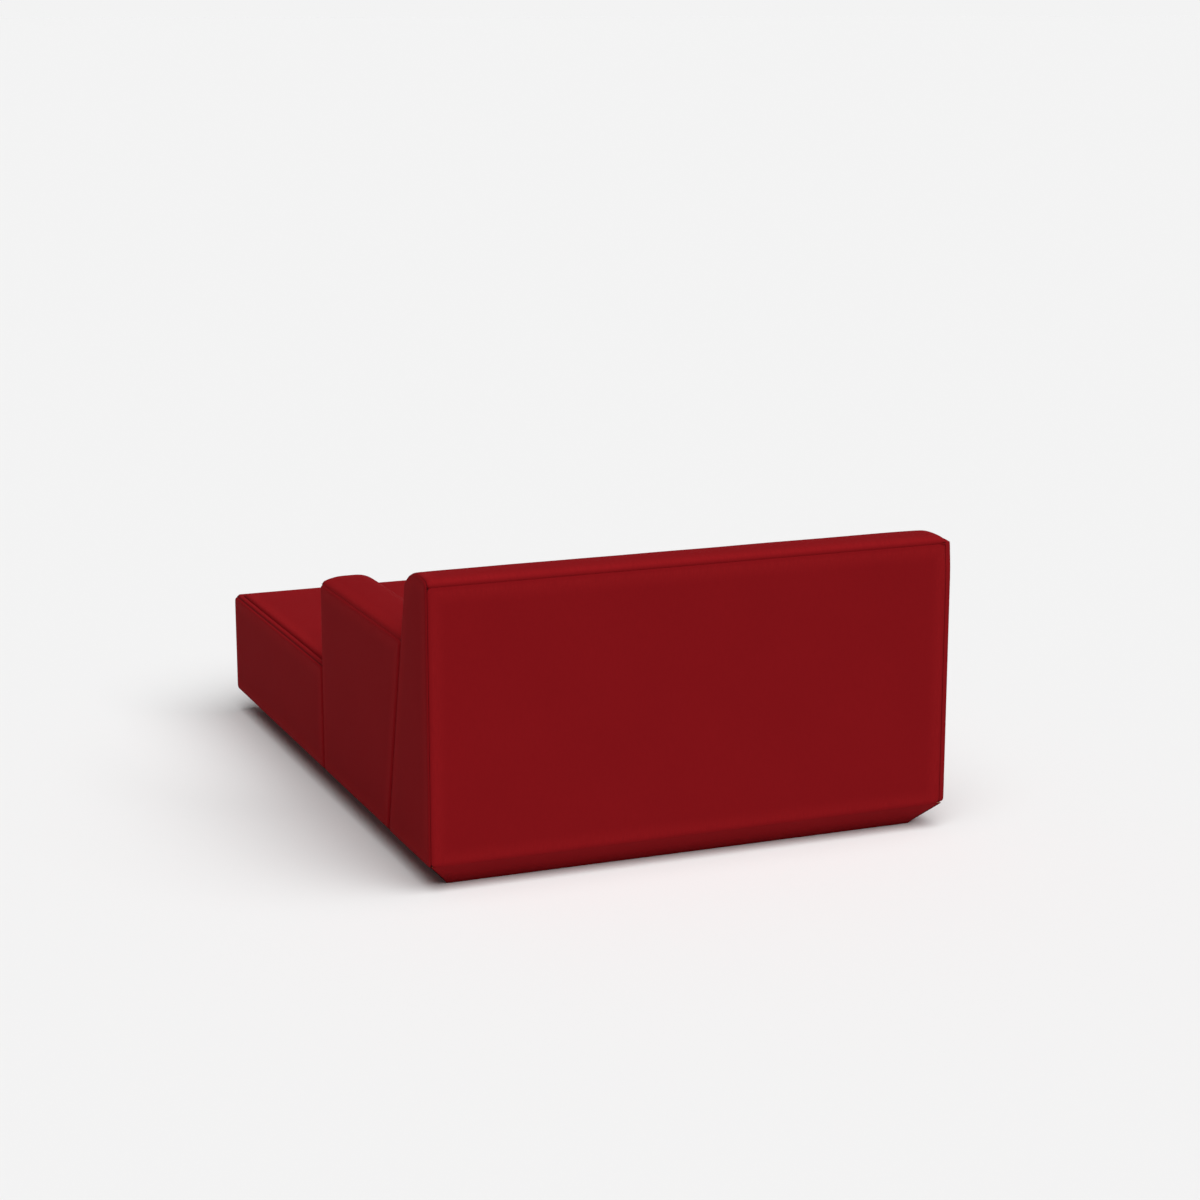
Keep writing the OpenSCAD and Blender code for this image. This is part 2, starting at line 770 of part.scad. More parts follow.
module seat_bevel_cover() {
    color(cloth_colour) difference() {
        seat_base(0, base_z, bevel_h);
        seat_base(cover_t, base_z - over, bevel_h + over);
        coupling_bores(socket_bore_d);
    }
}

module seat_dust_cloth() {
    color(lining_colour) seat_base(cover_t, base_z, board_z);
}

// A moulded glide with a chamfered foot
module glide(place) {
    chamfer = glide_h / 3;
    r = glide_d / 2;
    color(glide_colour) translate([place.x, place.y, 0]) rotate_extrude($fn = turned_steps)
        polygon([[0, 0], [r - chamfer, 0], [r, chamfer], [r, glide_h], [0, glide_h]]);
}

module seat_glides() {
    x = half_w - bevel_in - plinth_t / 2;
    y = half_d - bevel_in - plinth_t / 2;
    notch = notch_inner_y - plinth_t / 2;
    rear = base_rear_y + plinth_t / 2;
    for (place = [
        [-x, -y], [0, -y], [x, -y], [-x, notch], [0, cross_y + rail_t / 2], [x, notch],
        [-x, rear], [base_notch_x + plinth_t / 2, rear]])
        glide(place);
}

// Sockets in the boards along the backrest and the armrest
module seat_sockets() {
    start = module_gap + cover_t + socket_d / 2 * slope;
    back_size = back_face(base_z) + gap_h + plinth_t - back_face(pin_z) - start;
    arm_size = arm_face(base_z) + gap_h + plinth_t - arm_face(pin_z) - start;
    color(steel_colour) {
        in_back()
            for (x = back_pin_xs)
                translate([x, back_face(pin_z) + start, pin_z]) rotate([-90, 0, 0])
                    coupling_socket(back_size);
        in_arm()
            for (l = arm_pin_ls)
                translate([l, arm_face(pin_z) + start, pin_z]) rotate([-90, 0, 0])
                    coupling_socket(arm_size);
    }
}

// Pieces that the backrest and the armrest are both built from, in their own frames

// A module's outline inside its cover, and the outline of its filling
function core_outline(outline, radii) = layer_outline(outline, radii, cover_layers);
function fill_outline(outline, radii) = layer_outline(outline, radii, fill_layers);

// Depth of a module's leaning face at height z, inset layers behind its seams
function layer_face(outline, inset, z) = outline[2].x + (outline[2].y - z) * slope - inset / upright;

// A sheet on the leaning face between two insets, from the base to the top of the ribs
module face_sheet(outline, outer, inner, high) {
    polygon([
        [layer_face(outline, inner, bevel_h), bevel_h],
        [layer_face(outline, outer, bevel_h), bevel_h],
        [layer_face(outline, outer, high), high], [layer_face(outline, inner, high), high]]);
}

// A sheet on the upright outer face between two depths
module outer_sheet(low, high, top) {
    translate([low, bevel_h]) square([high - low, top - bevel_h]);
}

// Room for the rails that the ribs are notched over: a board on top and two at the base
module top_rail_outline(outline, layers, top) {
    rear = layers[3];
    translate([rear, top - rib_t])
        square([layer_face(outline, layers[1], top) - rear, rib_t]);
}

module base_rails_outline(outline, layers) {
    front = layer_face(outline, layers[1], bevel_h + inner_rail_h);
    translate([layers[3], bevel_h]) square([rib_t, inner_rail_h]);
    translate([front - rib_t, bevel_h]) square([rib_t, inner_rail_h]);
}

// A wedge-shaped plywood rib, notched over its rails and drilled to save weight
module rib_outline(outline, layers, top) {
    rise = top - bevel_h;
    difference() {
        polygon(inset_outline(outline, layers));
        top_rail_outline(outline, layers, top);
        base_rails_outline(outline, layers);
        for (share = rib_hole_shares)
            translate([
                (layers[3] + layer_face(outline, layers[1], bevel_h + rise * share)) / 2,
                bevel_h + rise * share])
                circle(d = rib_hole_d, $fn = turned_steps);
    }
}

// The filling over the ribs, up to the rounded top
module cap_outline(outline, radii, top) {
    difference() {
        polygon(fill_outline(outline, radii));
        translate([-over, 0]) square([outline[1].x + 2 * over, top]);
    }
}

module seam_welt_outline(outline, radii) {
    difference() {
        polygon(rounded_outline(outline, radii));
        polygon(core_outline(outline, radii));
    }
}

// Backrest

module back_ribs() {
    reach_x = back_frame_end - rib_t / 2;
    color(ply_colour) in_back()
        for (x = [-reach_x, -reach_x / 3, reach_x / 3, reach_x])
            along(x - rib_t / 2, x + rib_t / 2)
                rib_outline(back_outline, back_rib_layers, back_rib_top);
}

module back_top_rail() {
    color(pine_colour) in_back() along(-back_frame_end, back_frame_end)
        top_rail_outline(back_outline, back_rib_layers, back_rib_top);
}

module back_base_rails() {
    color(pine_colour) in_back() along(-back_frame_end, back_frame_end)
        base_rails_outline(back_outline, back_rib_layers);
}

module back_rear_board() {
    rear = cover_t + rear_pad_t;
    color(board_colour) in_back() along(-back_frame_end, back_frame_end)
        outer_sheet(rear, rear + board_t, back_rib_top);
}

// Elastic webs stretched over the ribs under the face foam
module back_webs() {
    foot = inset_outline(back_outline, back_web_layers);
    up = unit(foot[2] - foot[1]);
    back = [-up.y, up.x];
    color(web_colour) in_back() along(-back_frame_end, back_frame_end)
        for (s = bay_webs(0, norm(foot[2] - foot[1]), 5)) {
            low = foot[1] + up * (s - web_w / 2);
            high = foot[1] + up * (s + web_w / 2);
            polygon([low, high, high + back * web_t, low + back * web_t]);
        }
}

module back_face_foam() {
    color(foam_colour) in_back() along(-back_frame_end, back_frame_end)
        face_sheet(back_outline, fill_layers[1], cover_t + face_foam_t, back_rib_top);
}

module back_top_foam() {
    color(foam_colour) in_back() along(-back_frame_end, back_frame_end)
        cap_outline(back_outline, back_radii, back_rib_top);
}

module back_rear_wadding() {
    color(wadding_colour) in_back() along(-back_frame_end, back_frame_end)
        outer_sheet(fill_layers[3], cover_t + rear_pad_t, back_rib_top);
}

module back_end_wadding() {
    color(wadding_colour) in_back()
        for (side = [0, 1])
            mirror([side, 0, 0]) along(back_frame_end, back_end)
                polygon(fill_outline(back_outline, back_radii));
}

module back_base_boards() {
    front = back_face(bevel_h) - cover_h - plinth_t;
    side = half_w - base_in;
    color(pine_colour) difference() {
        intersection() {
            back_base(cover_t, board_z, bevel_h);
            in_back() {
                box([-half_w, 0, board_z], [half_w, base_in, bevel_h]);
                box([-half_w, front, board_z], [half_w, reach, bevel_h]);
                for (turn = [0, 1])
                    mirror([turn, 0, 0])
                        box([side, base_in + joint_gap, board_z],
                            [half_w, front - joint_gap, bevel_h]);
            }
        }
        coupling_bores(pin_bore_d);
    }
}

module back_wrap_cover() {
    path = wrap_path(back_outline, back_radii, back_rest_z);
    color(cloth_colour) in_back()
        wrapped_cover(path, len(path) - 2, -back_end, back_end, 0, crown);
}

module back_rear_cover() {
    top = back_h - back_rear_r - seam_groove;
    outline = [[-back_end, bevel_h], [back_end, bevel_h], [back_end, top], [-back_end, top]];
    color(cloth_colour) in_back() translate([0, cover_t, 0]) rotate([90, 0, 0])
        swelling_cover(outline, same(0, outline), crown);
}

module back_end_covers() {
    radii = [cover_low_r, cover_low_r, back_front_r - cover_t, back_rear_r - cover_t];
    color(cloth_colour) in_back()
        for (side = [0, 1])
            mirror([side, 0, 0]) translate([back_end, 0, 0]) rotate([90, 0, 90])
                swelling_cover(inset_outline(back_outline, cover_layers), radii, crown);
}

module back_seam_welts() {
    color(seam_colour) in_back()
        for (side = [0, 1])
            mirror([side, 0, 0]) along(back_end, half_w)
                seam_welt_outline(back_outline, back_radii);
}

module back_bevel_cover() {
    color(cloth_colour) difference() {
        back_base(0, base_z, bevel_h);
        back_base(cover_t, base_z - over, bevel_h + over);
        coupling_bores(pin_bore_d);
    }
}

module back_dust_cloth() {
    color(lining_colour) back_base(cover_t, base_z, board_z);
}

module back_glides() {
    x = half_w - bevel_in - plinth_t / 2;
    in_back()
        for (depth = [bevel_in + plinth_t / 2, back_face(bevel_h) - cover_h - plinth_t / 2])
            for (share = [-1, 0, 1]) glide([x * share, depth]);
}

module back_pins() {
    board = back_face(bevel_h) - cover_h - plinth_t;
    color(steel_colour) in_back()
        for (x = back_pin_xs)
            translate([x, board, pin_z]) rotate([-90, 0, 0])
                coupling_pin(back_face(pin_z) - board);
}

// Armrest

module arm_ribs() {
    first = arm_frame_start + rib_t / 2;
    last = arm_frame_end - rib_t / 2;
    color(ply_colour) in_arm()
        for (l = [first, (first + last) / 2, last])
            along(l - rib_t / 2, l + rib_t / 2)
                rib_outline(arm_outline, arm_rib_layers, arm_rib_top);
}

module arm_rails() {
    color(pine_colour) in_arm() along(arm_frame_start, arm_frame_end) {
        top_rail_outline(arm_outline, arm_rib_layers, arm_rib_top);
        base_rails_outline(arm_outline, arm_rib_layers);
    }
}

module arm_boards() {
    outer = cover_t + rear_pad_t;
    inner = cover_t + face_foam_t;
    color(board_colour) in_arm() along(arm_frame_start, arm_frame_end) {
        outer_sheet(outer, outer + board_t, arm_rib_top);
        face_sheet(arm_outline, inner, inner + board_t, arm_rib_top);
    }
}

module arm_face_foam() {
    color(foam_colour) in_arm() along(arm_frame_start, arm_frame_end)
        face_sheet(arm_outline, fill_layers[1], cover_t + face_foam_t, arm_rib_top);
}

module arm_top_foam() {
    color(foam_colour) in_arm() along(arm_frame_start, arm_frame_end)
        cap_outline(arm_outline, arm_radii, arm_rib_top);
}

// Wadding over the outer board, over the front end and in the wedge towards the backrest
module arm_wadding() {
    color(wadding_colour) difference() {
        in_arm() {
            along(arm_frame_start + joint_gap, arm_frame_end - joint_gap)
                outer_sheet(fill_layers[3], cover_t + rear_pad_t, arm_rib_top);
            along(cover_t, arm_frame_start) polygon(fill_outline(arm_outline, arm_radii));
            along(arm_frame_end, arm_len) polygon(fill_outline(arm_outline, arm_radii));
        }
        back_zone(module_gap + cover_t + joint_gap);
    }
}

module arm_base_boards() {
    inner = arm_face(bevel_h) - cover_h - plinth_t;
    rear = arm_len - back_face(base_z) - gap_h - plinth_t;
    front = cover_t + plinth_t;
    color(pine_colour) difference() {
        intersection() {
            arm_base(cover_t, board_z, bevel_h);
            in_arm() {
                box([0, 0, board_z], [arm_len, base_in, bevel_h]);
                box([0, inner, board_z], [arm_len, reach, bevel_h]);
                box([0, base_in + joint_gap, board_z], [front, inner - joint_gap, bevel_h]);
                box([rear, base_in + joint_gap, board_z], [arm_len, inner - joint_gap, bevel_h]);
            }
        }
        coupling_bores(pin_bore_d);
    }
}

module arm_wrap_cover() {
    path = wrap_path(arm_outline, arm_radii, arm_rest_z);
    color(cloth_colour) in_arm()
        wrapped_cover(path, len(path) - 2, cover_t, arm_rear(0), slope, crown);
}

module arm_outer_cover() {
    top = arm_h - arm_outer_r - seam_groove;
    outline = [
        [cover_t, bevel_h], [arm_rear(bevel_h), bevel_h], [arm_rear(top), top], [cover_t, top]];
    color(cloth_colour) in_arm() translate([0, cover_t, 0]) rotate([90, 0, 0])
        swelling_cover(outline, [cover_low_r, cover_low_r, 0, 0], crown);
}

// The cover of the front end where it stands above the seat
module arm_end_cover() {
    core = inset_outline(arm_outline, cover_layers);
    outline = [
        [cover_t, arm_rest_z], [layer_face(arm_outline, cover_t, arm_rest_z), arm_rest_z],
        core[2], core[3]];
    radii = [0, 0, arm_inner_r - cover_t, arm_outer_r - cover_t];
    color(cloth_colour) in_arm() mirror([1, 0, 0]) translate([-cover_t, 0, 0]) rotate([90, 0, 90])
        swelling_cover(outline, radii, crown);
}

// Plain cloth against the seat and against the backrest
module arm_linings() {
    core = core_outline(arm_outline, arm_radii);
    color(lining_colour) in_arm() along(0, cover_t)
        face_sheet_to_outside(arm_rest_z - seam_groove);
    color(lining_colour) difference() {
        intersection() {
            in_arm() along(arm_frame_end - plinth_t, arm_len) polygon(core);
            back_zone(module_gap + cover_t);
        }
        back_zone(module_gap);
    }
}

// The lower part of the armrest's outline inside its cover
module face_sheet_to_outside(high) {
    polygon([
        [cover_t, bevel_h], [layer_face(arm_outline, cover_t, bevel_h), bevel_h],
        [layer_face(arm_outline, cover_t, high), high], [cover_t, high]]);
}

module arm_seam_welts() {
    color(seam_colour) in_arm() along(0, cover_t) seam_welt_outline(arm_outline, arm_radii);
}

module arm_bevel_cover() {
    color(cloth_colour) difference() {
        arm_base(0, base_z, bevel_h);
        arm_base(cover_t, base_z - over, bevel_h + over);
        coupling_bores(pin_bore_d);
    }
}

module arm_dust_cloth() {
    color(lining_colour) arm_base(cover_t, base_z, board_z);
}

module arm_glides() {
    rear = arm_len - back_face(base_z) - gap_h - cover_h - plinth_t / 2;
    in_arm()
        for (l = [cover_t + plinth_t / 2, rear])
            for (depth = [bevel_in + plinth_t / 2, arm_face(bevel_h) - cover_h - plinth_t / 2])
                glide([l, depth]);
}

module arm_pins() {
    board = arm_face(bevel_h) - cover_h - plinth_t;
    color(steel_colour) in_arm()
        for (l = arm_pin_ls)
            translate([l, board, pin_z]) rotate([-90, 0, 0])
                coupling_pin(arm_face(pin_z) - board);
}

seat_front_rail();
seat_open_side_rail();
seat_arm_side_rail();
seat_cross_rail();
seat_bay_rails();
seat_notch_rail();
seat_rear_rail();
seat_corner_blocks();
seat_base_boards();
seat_centre_leg();
seat_webs_across();
seat_webs_along();
seat_felt();
seat_side_wadding();
seat_foam_core();
seat_comfort_layer();
seat_top_cover();
seat_edge_band();
seat_side_covers();
seat_front_cover();
seat_inner_cover();
seat_bevel_cover();
seat_dust_cloth();
seat_glides();
seat_sockets();
back_ribs();
back_top_rail();
back_base_rails();
back_rear_board();
back_webs();
back_face_foam();
back_top_foam();
back_rear_wadding();
back_end_wadding();
back_base_boards();
back_wrap_cover();
back_rear_cover();
back_end_covers();
back_seam_welts();
back_bevel_cover();
back_dust_cloth();
back_glides();
back_pins();
arm_ribs();
arm_rails();
arm_boards();
arm_face_foam();
arm_top_foam();
arm_wadding();
arm_base_boards();
arm_wrap_cover();
arm_outer_cover();
arm_end_cover();
arm_linings();
arm_seam_welts();
arm_bevel_cover();
arm_dust_cloth();
arm_glides();
arm_pins();
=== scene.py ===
import bisect
import math

import bmesh
import bpy
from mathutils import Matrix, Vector, geometry, noise


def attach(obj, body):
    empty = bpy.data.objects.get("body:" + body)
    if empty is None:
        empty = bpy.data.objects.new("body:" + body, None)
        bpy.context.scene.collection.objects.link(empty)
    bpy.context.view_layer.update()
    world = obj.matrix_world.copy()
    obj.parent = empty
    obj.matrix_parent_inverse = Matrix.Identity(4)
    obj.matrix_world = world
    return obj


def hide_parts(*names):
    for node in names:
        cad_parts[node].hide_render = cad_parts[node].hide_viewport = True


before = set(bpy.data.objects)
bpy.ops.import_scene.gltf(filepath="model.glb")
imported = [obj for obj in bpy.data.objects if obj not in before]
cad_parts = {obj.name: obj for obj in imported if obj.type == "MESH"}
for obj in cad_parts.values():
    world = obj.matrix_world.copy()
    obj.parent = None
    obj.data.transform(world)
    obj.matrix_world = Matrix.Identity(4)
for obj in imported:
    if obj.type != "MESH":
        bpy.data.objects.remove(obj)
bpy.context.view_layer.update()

# The seat's frame. Eight sawn pine boards on edge carry the sitter, glued and stapled at
# their butt joints, and rest on bevelled pine boards that reach almost to the floor.

BOARDS_ALONG_X = ["seat_front_rail", "seat_cross_rail", "seat_bay_rails", "seat_rear_rail"]
BOARDS_ALONG_Y = ["seat_open_side_rail", "seat_arm_side_rail", "seat_notch_rail"]
BASE_MITRE_X, NOTCH_BOARDS_Y = 0.552, (0.0138, 0.4965)
RING_WIDTH, PITH_DEPTH = 0.0042, 0.055
LIGHT_PINE, DARK_PINE = "E6C594", "C4935A"
WAVE = math.pi / 10  # the length after which a wave texture at scale 1 repeats


def linear(code):
    """A colour written as sRGB hex, in the linear values that a shader wants."""
    parts = [int(code[i : i + 2], 16) / 255 for i in (0, 2, 4)]
    return [c / 12.92 if c <= 0.04045 else ((c + 0.055) / 1.055) ** 2.4 for c in parts] + [1]


def add(tree, kind, inputs, **properties):
    """Adds a node. An input is another node's socket, or its own value."""
    node = tree.nodes.new("ShaderNode" + kind)
    for name, value in properties.items():
        setattr(node, name, value)
    for name, value in inputs.items():
        if isinstance(value, bpy.types.NodeSocket):
            tree.links.new(value, node.inputs[name])
        else:
            node.inputs[name].default_value = value
    return node


def blank(name, kind="TexCoord", place="Object", **properties):
    """A new material, its node tree, and the place that its patterns follow: in space, or
    on flat cloth."""
    material = bpy.data.materials.new(name)
    material.use_nodes = True
    tree = material.node_tree
    tree.nodes.clear()
    return material, tree, add(tree, kind, {}, **properties).outputs[place]


def surface(tree, share, colours, relief, strength, depth, roughness, specular=0.5, metallic=0):
    """Ends a material. Its colour goes from the first to the second with share, and its
    relief is depth metres high at full strength."""
    low, high = [linear(c) if isinstance(c, str) else c for c in colours]
    colour = add(tree, "Mix", {0: share, 6: low, 7: high}, data_type="RGBA").outputs[2]
    bump = add(tree, "Bump", {"Height": relief, "Strength": strength, "Distance": depth})
    shader = add(
        tree,
        "BsdfPrincipled",
        {
            "Base Color": colour,
            "Metallic": metallic,
            "Roughness": roughness,
            "Specular IOR Level": specular,
            "Normal": bump.outputs["Normal"],
        },
    )
    add(tree, "OutputMaterial", {"Surface": shader.outputs["BSDF"]})


def sawn_pine(name, turn):
    """Sawn pine whose grain runs along X, or along another axis after a turn. Growth rings
    lie round a pith below the board, so that faces show long lines and ends show arcs."""
    material, tree, place = blank(name)
    above = {"Vector": place, "Rotation": turn, "Location": (0, PITH_DEPTH, PITH_DEPTH)}
    along = add(tree, "Mapping", above).outputs["Vector"]
    slow = add(tree, "Mapping", {"Vector": along, "Scale": (0.08, 1, 1)}).outputs["Vector"]
    bend = add(tree, "TexNoise", {"Vector": slow, "Scale": 14, "Detail": 3}).outputs["Color"]
    bent = add(tree, "Mix", {0: 0.03, 6: slow, 7: bend}, data_type="RGBA").outputs[2]
    rings = add(
        tree,
        "TexWave",
        {"Vector": bent, "Scale": WAVE / RING_WIDTH, "Distortion": 1.5, "Detail": 2},
        wave_type="RINGS",
        rings_direction="X",
        wave_profile="SAW",
    ).outputs["Fac"]
    fibre = add(tree, "Mapping", {"Vector": along, "Scale": (0.04, 1, 1)}).outputs["Vector"]
    fibres = add(tree, "TexNoise", {"Vector": fibre, "Scale": 900, "Detail": 2}).outputs["Fac"]
    mixed = add(tree, "Math", {0: rings, 1: fibres}, operation="MULTIPLY").outputs[0]
    pine = LIGHT_PINE, DARK_PINE
    surface(tree, mixed, pine, fibres, strength=0.4, depth=0.0004, roughness=0.68)
    return material


def dress(node, *materials, pick=None):
    """Gives a rigid CAD piece its materials, picked by where each face lies."""
    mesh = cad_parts[node].data
    mesh.materials.clear()
    for material in materials:
        mesh.materials.append(material)
    for face in mesh.polygons:
        face.material_index = pick(face.center) if pick else 0


pine_x = sawn_pine("sawn pine along the width", (0, 0, 0))
pine_y = sawn_pine("sawn pine along the depth", (0, 0, math.pi / 2))
pine_z = sawn_pine("sawn pine upright", (0, math.pi / 2, 0))
for board in BOARDS_ALONG_X:
    dress(board, pine_x)
for board in BOARDS_ALONG_Y:
    dress(board, pine_y)
dress("seat_centre_leg", pine_z)


def along_depth(at):
    """Whether a base board of the seat lies along the depth: under the open side, in front
    of the armrest and beside it."""
    first, last = NOTCH_BOARDS_Y
    outer = at.x < -BASE_MITRE_X or (at.x > BASE_MITRE_X and at.y < first)
    return outer or first < at.y < last


dress("seat_base_boards", pine_x, pine_y, pick=along_depth)

# The frame's corner blocks. Birch plywood offcuts, sawn to triangles and glued into each
# corner, with their plies lying flat.

PLY = 0.0015
LIGHT_PLY, DARK_PLY = "D9B98A", "A9814F"


def birch_plywood(name, axis, turn):
    """Birch plywood. Plies follow each other along one axis, and alternate light and dark
    where an edge is cut, while a face shows one ply with its long fine grain."""
    material, tree, place = blank(name)
    two_plies = {"Vector": place, "Scale": WAVE / (2 * PLY)}
    plies = add(
        tree, "TexWave", two_plies, wave_type="BANDS", bands_direction=axis
    ).outputs["Fac"]
    along = add(tree, "Mapping", {"Vector": place, "Rotation": turn}).outputs["Vector"]
    long = add(tree, "Mapping", {"Vector": along, "Scale": (0.06, 1, 1)}).outputs["Vector"]
    grain = add(tree, "TexNoise", {"Vector": long, "Scale": 420, "Detail": 4}).outputs["Fac"]
    shade = add(tree, "Math", {0: plies, 1: grain}, operation="MULTIPLY").outputs[0]
    birch = LIGHT_PLY, DARK_PLY
    surface(tree, shade, birch, grain, strength=0.3, depth=0.0003, roughness=0.6)
    return material


ply_flat = birch_plywood("birch plywood lying", "Z", (0, 0, 0))
dress("seat_corner_blocks", ply_flat)

# The seat's springing. Elastic webs of rubber and polyester yarn are stretched across the
# frame, others are woven through them front to back, and all are stapled to the rails.

WEB_RIB = 0.003
WEB_EDGE, WEB_EDGE_HALF = 0.022, 0.0016
WEB_LIGHT, WEB_SHADE, WEB_STRIPE = "D8D3C4", "A49D8A", "6C675C"
FLAT_ANGLE, CORNER_ANGLE, SHARP_ANGLE = 0.01, 0.4, 0.7


def stand(name, data):
    """A new object in the scene, with this mesh, curve, lamp or camera."""
    thing = bpy.data.objects.new(name, data)
    bpy.context.scene.collection.objects.link(thing)
    return thing


def build(name, bm, material):
    """A new object in the scene from a finished mesh, all of one material."""
    mesh = bpy.data.meshes.new(name)
    bm.to_mesh(mesh)
    bm.free()
    mesh.materials.append(material)
    return stand(name, mesh)


def soft_copy(name, node, rounding, material, body, slot, pressed=None):
    """A soft piece with the form of its CAD solid, its edges rounded, pressed in where a
    cover lies on it, and with flat cloth coordinates in metres on each of its faces."""
    bm = bmesh.new()
    bm.from_mesh(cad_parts[node].data)
    bmesh.ops.remove_doubles(bm, verts=bm.verts, dist=1e-5)
    bmesh.ops.dissolve_limit(bm, angle_limit=FLAT_ANGLE, verts=bm.verts, edges=bm.edges)
    corners = [e for e in bm.edges if e.is_manifold and e.calc_face_angle() > CORNER_ANGLE]
    how = {"offset_type": "OFFSET", "segments": 2, "profile": 0.5, "affect": "EDGES"}
    bmesh.ops.bevel(bm, geom=corners, offset=rounding, clamp_overlap=True, material=-1, **how)
    bmesh.ops.triangulate(bm, faces=[f for f in bm.faces if len(f.verts) > 4])
    if pressed:
        for vert in bm.verts:
            vert.co = pressed(vert.co)
        bm.normal_update()
    flat = bm.loops.layers.uv.new("flat")
    for face in bm.faces:
        level = Vector((0, 0, 1)).cross(face.normal)
        level = level.normalized() if level.length > 0.1 else Vector((1, 0, 0))
        rise = face.normal.cross(level)
        for loop in face.loops:
            loop[flat].uv = (loop.vert.co.dot(level), loop.vert.co.dot(rise))
        face.smooth = True
    piece = build(name, bm, material)
    piece.data.set_sharp_from_angle(angle=SHARP_ANGLE)
    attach(piece, body)
    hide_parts(node)
    return piece


def lay_webs(name, node, body):
    """The webs of one layer, with cloth coordinates along and across each web."""
    webs = soft_copy(name, node, 0.0005, elastic_web, body, "webbing")
    bm = bmesh.new()
    bm.from_mesh(webs.data)
    flat = bm.loops.layers.uv["flat"]
    waiting = set(bm.faces)
    while waiting:
        web, reached = set(), [waiting.pop()]
        while reached:
            face = reached.pop()
            web.add(face)
            for edge in face.edges:
                for other in edge.link_faces:
                    if other in waiting:
                        waiting.remove(other)
                        reached.append(other)
        points = [v.co for f in web for v in f.verts]
        low = Vector([min(p[i] for p in points) for i in range(3)])
        high = Vector([max(p[i] for p in points) for i in range(3)])
        middle, size = (low + high) / 2, high - low
        length = Vector((1, 0, 0)) if size.x > size.y else Vector((0, 1, 0))
        across = Vector((length.y, length.x, 0))
        if size.z > size.y:
            across = Vector((0, -size.y, size.z)).normalized()
        for face in web:
            for loop in face.loops:
                away = loop.vert.co - middle
                loop[flat].uv = (away.dot(length), away.dot(across))
    bm.to_mesh(webs.data)
    bm.free()


# Elastic webbing, woven: ribs across it at 3 mm, where the real ones are 1.5 mm apart, and
# a darker yarn near each edge.
elastic_web, tree, flat = blank("woven elastic webbing", "UVMap", "UV", uv_map="flat")
ribs = add(
    tree,
    "TexWave",
    {"Vector": flat, "Scale": WAVE / WEB_RIB, "Distortion": 0.4, "Detail": 1},
    wave_type="BANDS",
    bands_direction="X",
).outputs["Fac"]
across = add(tree, "SeparateXYZ", {0: flat}).outputs["Y"]
away = add(tree, "Math", {0: across}, operation="ABSOLUTE").outputs[0]
at_edge = {0: away, 1: WEB_EDGE, 2: WEB_EDGE_HALF}
stripe = add(tree, "Math", at_edge, operation="COMPARE").outputs[0]
yarn = add(
    tree, "Mix", {0: ribs, 6: linear(WEB_SHADE), 7: linear(WEB_LIGHT)}, data_type="RGBA"
).outputs[2]
surface(tree, stripe, (yarn, WEB_STRIPE), ribs, strength=0.6, depth=0.0006, roughness=0.85)

lay_webs("webs_across", "seat_webs_across", "seat")
lay_webs("webs_along", "seat_webs_along", "seat")

# The seat's filling. A needled felt keeps the webs from cutting into the foam, the core is
# firm foam, a softer wadding lies on it, and wadding is glued on the frame's sides.

FELT_FIBRE, FOAM_CELL, WADDING_FIBRE = 0.0025, 0.0022, 0.0035
SIDE, REAR, FRONT = 0.640, 0.840, -0.840
SEAT_Z, FOLD_Z, FLOOR_Z = 0.325, 0.061, 0.003
BEVEL = 0.056
PAD_DEPTH = 0.0058
CORNER_R, CORNER_LOW_R, CORNER_TOP_R = 0.0012, 0.0003, 0.007
CORNER_LOW, CORNER_TOP = 0.030, 0.035
SEAT_CORNERS = [(SIDE, FRONT, 1, -1), (-SIDE, FRONT, -1, -1)]


def smooth(low, high, value):
    """0 below low, 1 above high, and a soft step between them."""
    share = min(max((value - low) / (high - low), 0), 1)
    return share * share * (3 - 2 * share)


def drawn_in(co, corners, top_r):
    """Where a point lies once its upright corner is rounded. Thread and staples pull the
    cloth in there, a little more at the fold over the base and, by top_r, at the top."""
    radius = CORNER_R + top_r * smooth(SEAT_Z - CORNER_TOP, SEAT_Z, co.z)
    if co.z > FOLD_Z:
        radius += CORNER_LOW_R * (1 - smooth(FOLD_Z, FOLD_Z + CORNER_LOW, co.z))
    else:
        radius += CORNER_LOW_R * smooth(FLOOR_Z, FOLD_Z, co.z)
    inset = BEVEL * max(FOLD_Z - co.z, 0) / (FOLD_Z - FLOOR_Z)
    for x, y, out_x, out_y in corners:
        across = (co.x - x) * out_x + inset + radius
        along = (co.y - y) * out_y + inset + radius
        if across > 0 and along > 0:
            share = 1 - max(across, along) / math.hypot(across, along)
            co = co - share * Vector((out_x * across, out_y * along, 0))
    return co


def in_seat(co):
    """Where a point of the seat lies once its corners are drawn in."""
    return drawn_in(co, SEAT_CORNERS, CORNER_TOP_R)


def under_seat_cover(co):
    """Where a point of the seat's filling lies once the cover presses on it."""
    side = SIDE - PAD_DEPTH
    x = min(max(co.x, -side), side)
    return in_seat(Vector((x, max(co.y, FRONT + PAD_DEPTH), min(co.z, SEAT_Z - PAD_DEPTH))))


